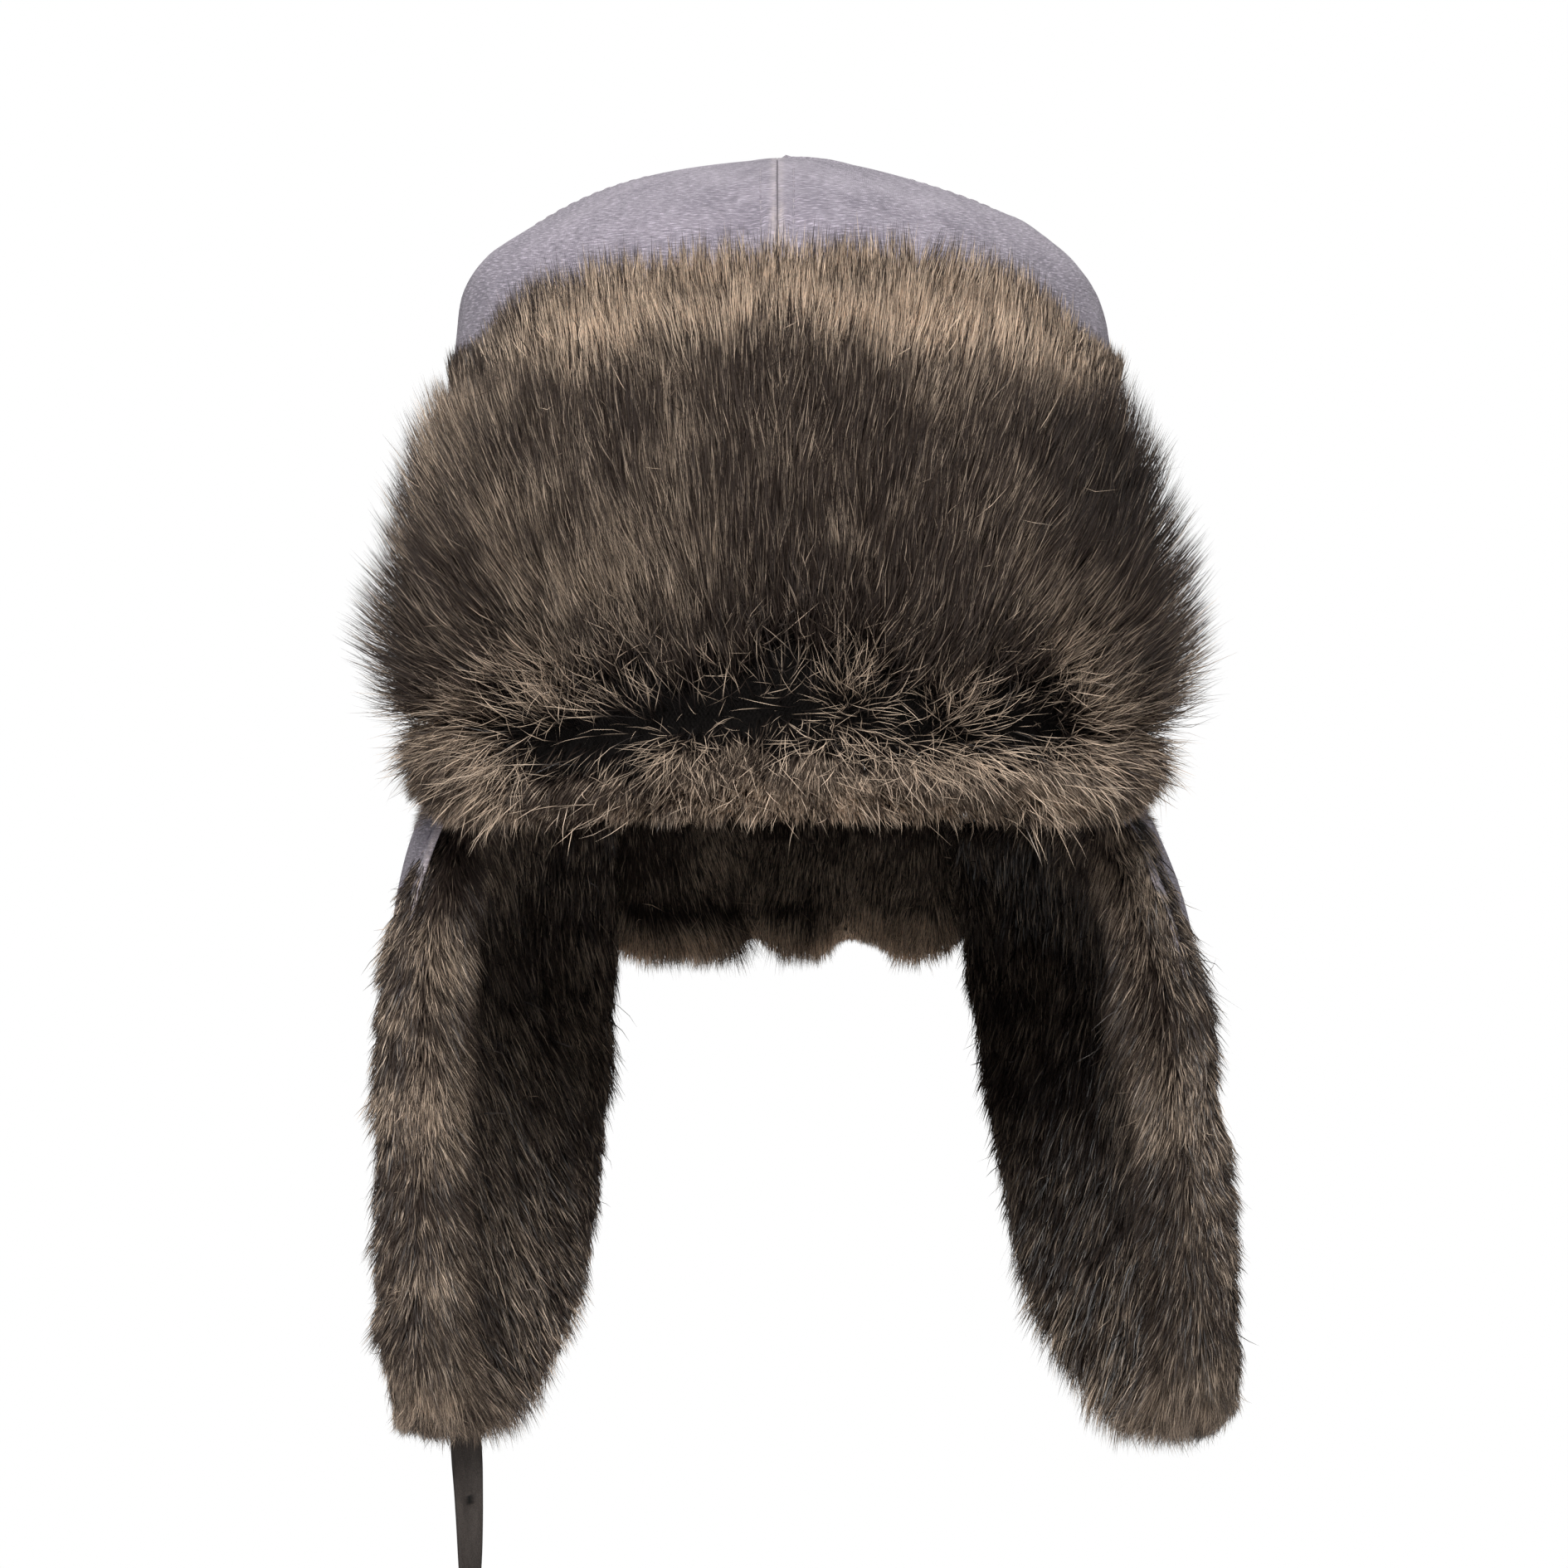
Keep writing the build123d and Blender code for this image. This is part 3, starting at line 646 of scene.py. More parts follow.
strap_line = nurbs_line("strap_route", ROUTE)
line = resample(strap_line * 1000.0, 240, closed=False)
along = np.concatenate([[0], np.cumsum(np.linalg.norm(np.diff(line, axis=0), axis=1))])
STRAP_LEN = float(along[-1])
tangent = unit(np.gradient(line, axis=0))
twist = np.radians(np.interp(along, [0, 12, 24, 44, 90, 150, 200], [36, 37, 44, 62, 66, 58, 52]))
wide = np.stack([np.cos(twist), np.sin(twist), 0 * twist], 1)
wide = unit(wide - (wide * tangent).sum(1, keepdims=True) * tangent)
thick = np.cross(tangent, wide)
NS = 40
ang = np.linspace(0, 2 * np.pi, NS, endpoint=False)
sx_ = np.sign(np.cos(ang)) * np.abs(np.cos(ang)) ** 0.45
sy_ = np.sign(np.sin(ang)) * np.abs(np.sin(ang)) ** 0.75
w_half = np.interp(along, [0, 3, 20, STRAP_LEN], [4.6, 4.95, 4.95, 4.9])
end = np.clip((STRAP_LEN - along) / 5.0, 0, 1)
w_half = w_half * np.sqrt(np.clip(1 - (1 - end) ** 2, 0.0009, 1))
t_half = np.full_like(along, 1.05) * np.sqrt(np.clip((STRAP_LEN - along) / 0.8, 0.02, 1))
HOLES = [21.5, 46.5, 71.5, 96.5, 121.5, 146.5]
V, holes, wearv, stv = [], [], [], []
for i in range(len(line)):
    u, v = sx_ * w_half[i], sy_ * t_half[i]
    curl = 0.35 * (u / 5.0) ** 2 + 0.10 * math.sin(along[i] * 0.21) * (u / 5.0)
    side = np.array([math.hypot(1, 0)] * NS)
    hole = np.zeros(NS)
    for h in HOLES:
        r = np.hypot(u, along[i] - h)
        hole = np.maximum(hole, 1 - smooth(0.85, 1.35, r))
    v = v * (1 - 0.55 * hole)
    pts_ = line[i] + np.outer(u, wide[i]) + np.outer(v + curl, thick[i])
    V.append(pts_)
    holes.append(hole)
    wearv.append(smooth(0.80, 1.0, np.abs(u) / max(w_half[i], 0.1)))
    stv.append(np.stack([u + np.where(sy_ < 0, 30.0, 0.0), np.full(NS, along[i]), v], 1))
V = np.concatenate(V)
n_ring = len(line)
k = np.arange(NS)
quads = np.concatenate([np.stack([i * NS + k, i * NS + (k + 1) % NS, (i + 1) * NS + (k + 1) % NS, (i + 1) * NS + k], 1) for i in range(n_ring - 1)])
V = np.concatenate([V, [line[0] - 0.3 * tangent[0]], [line[-1] + 0.1 * tangent[-1]]])
caps = np.concatenate([np.stack([np.full(NS, len(V) - 2), (k + 1) % NS, k], 1), np.stack([np.full(NS, len(V) - 1), (n_ring - 1) * NS + k, (n_ring - 1) * NS + (k + 1) % NS], 1)])
strap = mesh_from("chin_strap_leather", V, outward(V, [quads, caps]), {
    "st": np.concatenate([np.concatenate(stv), [[0, 0, 0], [0, STRAP_LEN, 0]]]),
    "wear_and_painted_shade": np.concatenate([np.concatenate(wearv), [1, 1]]), "hole": np.concatenate([np.concatenate(holes), [0, 0]])}, material=STRAP)
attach(strap, "chin_strap")
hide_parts("chin_strap")


# ---------------------------------------------------------------- stitches
def stitches(name, lines, body=None, pitch=3.5, length=2.5, wide_=0.55, high=0.34, sink=0.08, material=THREAD):
    """Small rounded stitches along surface lines. Each line is (points, normals) in mm."""
    parts, sts = [], []
    R, Q = 5, 6
    for P, N in lines:
        s = np.concatenate([[0], np.cumsum(np.linalg.norm(np.diff(P, axis=0), axis=1))])
        n = int(s[-1] / pitch)
        if n < 1:
            continue
        c = (np.arange(n) + 0.5) * pitch + (s[-1] - n * pitch) / 2

        def at(t):
            return np.stack([np.interp(t, s, P[:, j]) for j in range(3)], 1)
        a, b = at(c - length / 2), at(c + length / 2)
        mid = at(c)
        nn = unit(np.stack([np.interp(c, s, N[:, j]) for j in range(3)], 1))
        ax = unit(b - a)
        sd = unit(np.cross(ax, nn))
        nn = np.cross(sd, ax)
        rings_ = []
        for i in range(R):
            f = -1 + 2 * i / (R - 1)
            g = math.sqrt(max(1 - (abs(f) * 0.97) ** 3, 0.03))
            lift = high * 0.5 * (1 - f * f) - sink
            for q in range(Q):
                th = 2 * math.pi * q / Q
                rings_.append(mid + ax * (f * length / 2) + sd * (wide_ / 2 * g * math.cos(th)) + nn * (lift + high / 2 * g * math.sin(th)))
        W = np.stack(rings_, 1)                     # n, R*Q, 3
        q = np.arange(Q)
        f4 = np.concatenate([np.stack([i * Q + q, i * Q + (q + 1) % Q, (i + 1) * Q + (q + 1) % Q, (i + 1) * Q + q], 1) for i in range(R - 1)])
        e0 = np.array([[0, 3, 2, 1], [0, 5, 4, 3]])
        e1 = np.array([[0, 1, 2, 3], [0, 3, 4, 5]]) + (R - 1) * Q
        f4 = np.concatenate([f4, e0, e1])
        base = (np.arange(n) * R * Q)[:, None, None]
        parts.append((W.reshape(-1, 3), [(f4[None] + base).reshape(-1, 4)]))
        w = np.zeros((n, R * Q, 3))
        w[..., 0] = np.repeat(np.linspace(0, length, R), Q)[None]
        w[..., 1] = np.tile(np.arange(Q) * 0.3, R)[None] + c[:, None]
        sts.append(w.reshape(-1, 3))
    V, F = join(parts)
    F = outward(V, F)
    ob = mesh_from(name, V, F, {"st": np.concatenate(sts)}, material=material)
    if body:
        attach(ob, body)
    return ob


# ---------------------------------------------------------------- crown
rows = np.arange(len(CROWN), dtype=float)
cz_, ca_, cb_ = (cubic(rows, CROWN[:, i]) for i in range(3))
SEAM_X, SEAM_TOP = -1.8, -9.0
PHI0 = -math.asin(5.0 / 114.0)                     # the ear-to-ear seam meets the lower edge 5 mm ahead of the middle
v_dense = np.linspace(0, len(CROWN) - 1, 800)
prof = np.stack([cz_(v_dense), ca_(v_dense)], 1)
s_prof = np.concatenate([[0], np.cumsum(np.linalg.norm(np.diff(prof, axis=0), axis=1))])


def crown_point(phi, s):
    """phi: plan angle from +X, s: mm up the profile from the lower edge."""
    v = np.interp(s, s_prof, v_dense)
    a, b, z = ca_(v), cb_(v), cz_(v)
    f = (1 - (a / 96.0) ** 2) ** 2
    x = a * np.cos(phi) + SEAM_X * (1 - (np.cos(phi) * a / 96.0) ** 2)
    y = b * np.sin(phi) + SEAM_TOP * f
    top = smooth(118, 166, z)
    z = z + top * (-1.3 * smooth(2.0, -10.0, x) + 0.9 * np.exp(-((x - 9) / 17.0) ** 2) - 0.5 * np.exp(-((x - 44) / 14.0) ** 2) + 0.5 * np.exp(-((x + 40) / 22.0) ** 2))
    return np.stack([x, y, z], -1)


def grid_normals(P):
    du = np.gradient(P, axis=1)
    dv = np.gradient(P, axis=0)
    return unit(np.cross(du, dv))


QUARTERS = {
    "front_left": (-math.pi / 2, PHI0), "rear_left": (PHI0, math.pi / 2),
    "rear_right": (math.pi / 2, math.pi - PHI0), "front_right": (math.pi - PHI0, 1.5 * math.pi)}


def crown_quarter(phi0, phi1, d_out, d_in, relief, nphi=84, ns=118, s0=0.0, s1=None, gap=0.12):
    """A closed shell over one quarter, between depths d_out and d_in. relief(P, edge, s) lifts the outer face."""
    s = np.concatenate([np.linspace(s0, 150, int(ns * 0.68), endpoint=False), np.linspace(150, (s1 or s_prof[-1]), ns - int(ns * 0.68))])
    u = np.linspace(0, 1, nphi)
    u = u + 0.035 * np.sin(2 * np.pi * u) * -1      # finer towards the seams
    PH, SS = np.meshgrid(phi0 + (phi1 - phi0) * u, s)
    # keep the panel's own edges a hair from the seam
    v = np.interp(SS, s_prof, v_dense)
    r = np.maximum(0.5 * (ca_(v) + cb_(v)), 1.0)
    PH = np.clip(PH, phi0 + gap / r, phi1 - gap / r)
    B = crown_point(PH, SS)
    N = grid_normals(B)
    if (N[0, nphi // 2] @ (B[0, nphi // 2] * [1, 1, 0])) < 0:
        N = -N
    top_n = np.array([0, 0, 1.0])
    fade = smooth(6.0, 1.0, r)[..., None]
    N = unit(N * (1 - fade) + top_n * fade)
    edge = np.minimum((PH - phi0) * r, (phi1 - PH) * r)     # mm to the nearer seam
    st = np.stack([(PH - 0.5 * (phi0 + phi1)) * 100.0 * np.sqrt(np.clip(r / 105.0, 0.02, 1)), SS, 0 * SS], -1)
    lift = relief(B, edge, SS, PH)
    A = B + N * (lift - d_out)[..., None]
    C = B - N * d_in + N * (0.35 * lift)[..., None] * 0
    n0, n1 = A.shape[:2]
    idx = np.arange(n0 * n1).reshape(n0, n1)
    f = np.stack([idx[:-1, :-1], idx[:-1, 1:], idx[1:, 1:], idx[1:, :-1]], -1).reshape(-1, 4)
    g = f[:, ::-1] + n0 * n1
    ring = np.concatenate([idx[0, :-1], idx[:-1, -1], idx[-1, :0:-1], idx[:0:-1, 0]])
    nxt = np.roll(ring, -1)
    wall = np.stack([ring, ring + n0 * n1, nxt + n0 * n1, nxt], 1)
    V = np.concatenate([A.reshape(-1, 3), C.reshape(-1, 3)])
    F = outward(V, [np.concatenate([f, g, wall])])
    return V, F, {"edge": np.tile(edge.ravel(), 2), "s": np.tile(SS.ravel(), 2), "st": np.concatenate([st.reshape(-1, 3), st.reshape(-1, 3) + [0, 260, 0]]),
                  "B": B, "N": N, "A": A}


def crown_relief(B, edge, s, phi):
    z = B[..., 2]
    puff = 1.3 * smooth(0, 26, edge) * smooth(170, 140, z) - 0.2 - 0.5 * smooth(150, 166, z)
    groove = -0.55 * np.exp(-(edge / 1.3) ** 2)
    ridge = 0.45 * np.exp(-((edge - 2.6) / 1.1) ** 2) - 0.30 * np.exp(-((edge - 4.6) / 0.7) ** 2) + 0.2 * np.exp(-((edge - 6.2) / 1.2) ** 2)
    along_seam = noise(np.stack([s, phi * 60, 0 * s], -1), 7.0, 3)
    pucker = 0.55 * along_seam * np.exp(-((edge - 7) / 6.0) ** 2)
    folds = 1.0 * noise(B * [1.0, 1.0, 0.55], 34.0, 5) + 0.45 * noise(B * [0.8, 0.8, 1.6], 13.0, 6) + 0.14 * noise(B, 5.0, 7)
    rim = -0.5 * np.exp(-(s / 1.5) ** 2) + 0.25 * np.exp(-((s - 2.5) / 1.2) ** 2) - 0.25 * np.exp(-((s - 4.0) / 0.7) ** 2)
    fade = smooth(0.0, 6.0, s) * smooth(s_prof[-1] + 2, s_prof[-1] - 14, s)
    x = B[..., 0]
    shoulder = 3.4 * np.exp(-((x + 86) / 13.0) ** 2 - ((z - 138) / 15.0) ** 2) + 2.0 * np.exp(-((x - 88) / 13.0) ** 2 - ((z - 134) / 15.0) ** 2)
    # never lower than the wadding under it
    lowest = -0.75 + 1.3 * smooth(112, 160, z) * smooth(4, -8, x) + 1.2 * smooth(120, 150, z) * smooth(-14, 14, B[..., 1]) + 0.35 * smooth(150, 164, z)
    return np.maximum(puff * fade + groove + ridge + rim + pucker + folds * smooth(0, 10, s) + shoulder, lowest)


panel_surfaces = {}
for name, (p0, p1) in QUARTERS.items():
    V, F, info = crown_quarter(p0, p1, 0.0, 1.6, crown_relief)
    wear_and_painted_shade = np.exp(-((info["edge"] - 0.8) / 1.0) ** 2) * 0.85 + 0.7 * np.exp(-((info["s"] - 1.2) / 1.5) ** 2)
    wear_and_painted_shade = np.clip(wear_and_painted_shade * (0.55 + 0.6 * noise(V, 9.0, 11)), 0, 1)
    ob = mesh_from(f"crown_cloth_{name}", V, F, {"st": info["st"] + [{"front_left": 0, "rear_left": 400, "rear_right": 800, "front_right": 1200}[name], 0, 0], "wear_and_painted_shade": wear_and_painted_shade}, material=CLOTH)
    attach(ob, "crown")
    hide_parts(f"crown_panel_{name}")
    a = area_of(V, F) / 2 * 1e-6
    panel_surfaces[name] = info

crown_lines = []
for name, (p0, p1) in QUARTERS.items():
    info = panel_surfaces[name]
    A, N, edge = info["A"], info["N"], None
    n0, n1 = A.shape[:2]
    for side_ in (0, 1):
        # the stitch row 4.6 mm in from each seam
        pts, nor = [], []
        e = info["edge"][: n0 * n1].reshape(n0, n1)
        for i in range(2, n0 - 16):
            row = e[i] if side_ == 0 else e[i][::-1]
            half_ = row[: n1 // 2]
            if half_.max() < 5.5:
                break
            j = np.interp(4.6, half_, np.arange(len(half_)))
            jj = j if side_ == 0 else (n1 - 1) - j
            j0 = int(jj)
            j0 = min(j0, n1 - 2)
            f_ = jj - j0
            pts.append(A[i, j0] * (1 - f_) + A[i, j0 + 1] * f_)
            nor.append(N[i, j0] * (1 - f_) + N[i, j0 + 1] * f_)
        crown_lines.append((np.array(pts), np.array(nor)))
    # one row along the lower edge
    ss = info["s"][: n0 * n1].reshape(n0, n1)[:, 0]
    i = np.interp(4.0, ss, np.arange(n0))
    i0 = int(i)
    f_ = i - i0
    crown_lines.append(((A[i0] * (1 - f_) + A[i0 + 1] * f_)[2:-2], N[i0][2:-2]))
stitches("crown_topstitching", crown_lines, "crown")

# quilted lining, in four pieces
def lining_relief(B, edge, s, phi):
    a = (phi * 100.0 * 0.72 + s * 0.72) / 24.0
    b = (phi * 100.0 * 0.72 - s * 0.72) / 24.0
    da, db = np.abs(a - np.round(a)) * 24, np.abs(b - np.round(b)) * 24
    q = np.minimum(da, db)
    return 1.5 * (1 - np.exp(-(q / 3.2) ** 1.2)) + 0.25 * noise(B, 6.0, 21) - 0.6


for name, (p0, p1) in QUARTERS.items():
    def depth(B, edge, s, phi):
        return 0 * s
    V, F, info = crown_quarter(p0, p1, 8.4, 10.8, depth, nphi=72, ns=100, s1=s_prof[-1] - 1.0)
    n_half = len(V) // 2
    B, N = info["B"].reshape(-1, 3), info["N"].reshape(-1, 3)
    s_, phi_ = info["s"][:n_half], np.arctan2(B[:, 1], B[:, 0])
    q = lining_relief(B, info["edge"][:n_half], s_, phi_)
    V[n_half:] = B - N * (10.4 + q - 0.4 * np.exp(-(info["edge"][:n_half] / 2.0) ** 2))[:, None]
    # on the inner face the attribute is painted shade in the quilting's hollows, where q is low; on the other face it
    # is zero
    ob = mesh_from(f"lining_cloth_{name}", V, F, {"st": info["st"], "wear_and_painted_shade": np.concatenate([np.zeros(n_half), 1 - smooth(0.0, 0.5, q + 0.6)])}, material=SATIN)
    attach(ob, "crown")
    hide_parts(f"crown_lining_{name}")
    a = area_of(V, F) / 2 * 1e-6

# rim binding: folded tape round the lower edge, with its own small folds and stitches
th = np.linspace(0, 2 * np.pi, 480, endpoint=False)
sec = []
for j in range(20):
    a = 2 * np.pi * j / 20
    sec.append((5.4 + 5.4 * math.copysign(abs(math.cos(a)) ** 0.38, math.cos(a)), -1.6 + 1.45 * math.copysign(abs(math.sin(a)) ** 0.55, math.sin(a))))
sec = np.array(sec)                                 # depth in from the outer ellipse, z
ripple = 0.14 * noise(np.stack([np.cos(th) * 100, np.sin(th) * 100, 0 * th], 1), 4.0, 31)
Vb = []
for d, z in sec:
    rr = d - ripple * (1 if d < 5 else -1)
    Vb.append(np.stack([(96 - rr) * np.cos(th), (114 - rr) * np.sin(th), z + ripple * 0.6 * (1 if z < -1.6 else 0)], 1))
Vb = np.stack(Vb, 1)
n0, n1 = Vb.shape[:2]
idx = np.arange(n0 * n1).reshape(n0, n1)
fq = np.stack([idx, np.roll(idx, -1, 1), np.roll(np.roll(idx, -1, 1), -1, 0), np.roll(idx, -1, 0)], -1).reshape(-1, 4)
stb = np.zeros((n0, n1, 3))
stb[..., 0] = (th * 105)[:, None]
stb[..., 1] = np.linspace(0, 28, n1)[None]
Vb = Vb.reshape(-1, 3)
ob = mesh_from("rim_binding_tape", Vb, outward(Vb, [fq]), {"st": stb.reshape(-1, 3)}, material=BIND)
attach(ob, "crown"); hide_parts("rim_binding")
circle = np.stack([(96 - 9.2) * np.cos(th), (114 - 9.2) * np.sin(th), np.full_like(th, -3.05)], 1)
stitches("rim_binding_stitching", [(np.vstack([circle, circle[:1]]), np.tile([0, 0, -1.0], (len(th) + 1, 1)))], "crown", material=THREAD)

# sweatband: a soft turned tape
band_s = np.concatenate([np.linspace(0, 1, 26)])
Vs = []
tab = []
for j in range(44):
    a = 2 * np.pi * j / 44
    h = math.sin(a)
    zc = 19.2 + 18.6 * math.copysign(abs(h) ** 0.6, h)
    d = 14.0 + 0.75 * math.copysign(abs(math.cos(a)) ** 0.5, math.cos(a))
    tab.append((d, zc))
wav = noise(np.stack([np.cos(th) * 100, np.sin(th) * 100, 0 * th], 1), 11.0, 41)
for d, z in tab:
    rr = d + 0.5 * wav * (0.4 + 0.6 * math.exp(-((z - 37) / 8) ** 2)) + (0.25 if d > 14 else 0) * np.sin(th * 90) * 0.4
    Vs.append(np.stack([(96 - rr) * np.cos(th), (114 - rr) * np.sin(th), np.full_like(th, z) + 0.35 * wav], 1))
Vs = np.stack(Vs, 1)
n0, n1 = Vs.shape[:2]
idx = np.arange(n0 * n1).reshape(n0, n1)
fq = np.stack([idx, np.roll(idx, -1, 1), np.roll(np.roll(idx, -1, 1), -1, 0), np.roll(idx, -1, 0)], -1).reshape(-1, 4)
sts = np.zeros((n0, n1, 3))
sts[..., 0] = (th * 100)[:, None]
sts[..., 1] = np.linspace(0, 78, n1)[None]
Vs = Vs.reshape(-1, 3)
ob = mesh_from("sweatband_tape", Vs, outward(Vs, [fq]), {"st": sts.reshape(-1, 3)}, material=SWEAT)
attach(ob, "crown"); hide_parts("sweatband")
rows_ = [(np.stack([(96 - 15.1) * np.cos(th), (114 - 15.1) * np.sin(th), np.full_like(th, z)], 1), np.stack([-np.cos(th), -np.sin(th), 0 * th], 1)) for z in (3.2, 34.5)]
stitches("sweatband_stitching", [(np.vstack([P, P[:1]]), np.vstack([N, N[:1]])) for P, N in rows_], "crown", material=THREAD)


# labels: plain woven rectangles with turned ends
def label(name, node, x0, x1, z0, z1, d, material):
    nx_, nz_ = 40, 30
    xs, zs = np.linspace(x0, x1, nx_), np.linspace(z0, z1, nz_)
    X, Z = np.meshgrid(xs, zs)
    v = np.interp(Z, cz_(v_dense[:500]), v_dense[:500])
    a, b = ca_(v) - d, cb_(v) - d
    Y = b * np.sqrt(np.clip(1 - (X / a) ** 2, 0, 1))
    P = np.stack([X, Y, Z], -1)
    N = unit(np.stack([X / a ** 2, Y / b ** 2, 0 * X], -1))
    e = np.minimum(np.minimum(X - x0, x1 - X), np.minimum(Z - z0, z1 - Z))
    lift = 0.25 + 0.35 * smooth(0.0, 1.2, e) - 0.22 * smooth(1.8, 2.6, e) + 0.12 * noise(P, 5.0, 51)
    A, C = P - N * lift[..., None], P + N * 0.05
    idx = np.arange(nz_ * nx_).reshape(nz_, nx_)
    f = np.stack([idx[:-1, :-1], idx[:-1, 1:], idx[1:, 1:], idx[1:, :-1]], -1).reshape(-1, 4)
    ring = np.concatenate([idx[0, :-1], idx[:-1, -1], idx[-1, :0:-1], idx[:0:-1, 0]])
    nxt = np.roll(ring, -1)
    V = np.concatenate([A.reshape(-1, 3), C.reshape(-1, 3)])
    F = outward(V, [np.concatenate([f, f[:, ::-1] + nz_ * nx_, np.stack([ring, ring + nz_ * nx_, nxt + nz_ * nx_, nxt], 1)])])
    st = np.stack([X, Z, 0 * X], -1).reshape(-1, 3)
    ob = mesh_from(name, V, F, {"st": np.concatenate([st, st])}, material=material)
    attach(ob, "crown"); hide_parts(node)
    rim = np.concatenate([A[2, 2:-2], A[2:-2, -3], A[-3, -3:1:-1], A[-3:1:-1, 2]])
    rn = -np.concatenate([N[2, 2:-2], N[2:-2, -3], N[-3, -3:1:-1], N[-3:1:-1, 2]])
    stitches(name + "_stitching", [(rim, rn)], "crown", pitch=2.4, length=1.7, wide_=0.4, high=0.26, material=THREAD)


label("woven_label", "inner_label", -24, 24, 50, 78, 12.4, LABEL)
label("woven_tab", "size_tab", 30, 44, 44, 62, 12.4, TAB)
for n in ("crown_insulation",):
    nodes[n].data.materials.clear(); nodes[n].data.materials.append(WADDING)
nodes["headband_stiffener"].data.materials.clear(); nodes["headband_stiffener"].data.materials.append(BUCKRAM)


# ---------------------------------------------------------------- flap cloth, wadding and fur ground
CROWN_TO_EAR = dict(right=((-97.6, 24.0, 0.0), (-103.0, 25.0, -22.0)), left=((97.6, 24.0, 0.0), (103.0, 25.0, -22.0)))


def across(ob):
    """The object's transform baked into its mesh."""
    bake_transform(ob)


def cloth_layer(name, border, centre, surf, replace, relief_seed, material=CLOTH):
    rings = rim_rings(0.0, 1.6, 0.0, 9.0, inner_steps=34, arc=5, share_low=0.03, face_insets=(0.9, 1.6, 2.3, 3.0, 3.8, 4.4, 5.0, 5.6, 6.3, 7.2, 8.0))
    b = resample(border, 480)
    f = pillow(b, centre, surf, rings)
    V = f["V"]
    N = vertex_normals(V, f["F"])
    e = f["e"]
    outer_face = f["side"] == 0.0
    lift = -0.5 * np.exp(-((e - 4.9) / 0.7) ** 2) + 0.35 * np.exp(-((e - 2.6) / 1.6) ** 2)
    lift += smooth(0, 14, e) * (0.8 * noise(V, 30.0, relief_seed) + 0.35 * noise(V * [1, 1, 0.6], 12.0, relief_seed + 1)) + 0.3 * noise(V, 6.0, relief_seed + 2) * np.exp(-((e - 7) / 5.0) ** 2)
    lift = np.where(outer_face, lift + 0.3 * smooth(0, 12, e), 0.0)
    V = V + N * lift[:, None]
    wear_and_painted_shade = np.clip((np.exp(-(e / 1.8) ** 2) + 0.25 * np.exp(-((e - 4.9) / 1.0) ** 2)) * (0.6 + 0.7 * noise(V, 8.0, relief_seed + 3)), 0, 1)
    st = np.stack([f["p"], f["z"], f["side"]], 1) + [relief_seed * 37.0, 0, 0]
    ob = mesh_from(name, V, f["F"], {"st": st, "wear_and_painted_shade": wear_and_painted_shade}, material=material)
    across(ob)
    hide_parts(*replace)
    # stitches 4.9 mm in, on the outer face
    K = len(b)
    order = [i for i, r in enumerate(rings) if r[3] == 0.0 and abs(r[0] - 5.0) < 0.01 and r[1] == 1.0][0]
    P = V[order * K:(order + 1) * K]
    NN = N[order * K:(order + 1) * K]
    so = stitches(name + "_stitching", [(np.vstack([P, P[:1]]), np.vstack([NN, NN[:1]]))])
    across(so)
    return f


def soft_layer(name, border, centre, surf, d0, d1, inset, replace, material=FELT):
    f = pillow(resample(border, 240), centre, surf, rim_rings(d0, d1, inset, inset + 6.0, inner_steps=14, arc=5, share_low=0.06))
    st = np.stack([f["p"], f["z"], f["side"] * 30], 1)
    ob = mesh_from(name, f["V"], f["F"], {"st": st, "wear_and_painted_shade": 0 * f["p"]}, material=material)
    across(ob)
    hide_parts(*replace)
    return f


def ground_layer(name, border, centre, surf, rings, bend=None, K=300):
    f = pillow(resample(border, K), centre, surf, rings)
    if bend is not None:
        f["V"] = bend(f)
    f["N"] = vertex_normals(f["V"], f["F"])
    st = np.stack([f["p"], f["z"], f["side"] * 30], 1)
    ob = mesh_from(name, f["V"], f["F"], {"st": st}, material=GROUND)
    across(ob)
    f["ob"] = ob
    return f


ear_rings = rim_rings(6.2, 13.0, 3.0, 9.0, inner_steps=18, arc=9, share_low=0.05, face_insets=(7.5,))
for side_, surf in (("right", flap_right), ("left", flap_left)):
    cloth_layer(f"ear_flap_{side_}_cloth", ear_border, EAR_CENTRE, surf, [f"ear_flap_{side_}_shell"], 61 if side_ == "right" else 71)
    soft_layer(f"ear_flap_{side_}_padding", ear_border, EAR_CENTRE, surf, 2.7, 5.9, 4.0, [f"ear_flap_{side_}_wadding"])
ear_ground = {}
for side_, surf in (("right", flap_right), ("left", flap_left)):
    ear_ground[side_] = ground_layer(f"ear_flap_{side_}_fur_ground", ear_border, EAR_CENTRE, surf, ear_rings)

cloth_layer("neck_curtain_cloth", curtain_border, CURTAIN_CENTRE, curtain, ["neck_curtain_shell"], 81)
soft_layer("neck_curtain_padding", curtain_border, CURTAIN_CENTRE, curtain, 1.9, 5.9, 3.0, ["neck_curtain_wadding"])
curtain_ground = ground_layer("neck_curtain_fur_ground", curtain_border, CURTAIN_CENTRE, curtain,
                              rim_rings(6.2, 12.4, 2.5, 8.0, inner_steps=12, arc=9, share_low=0.05))


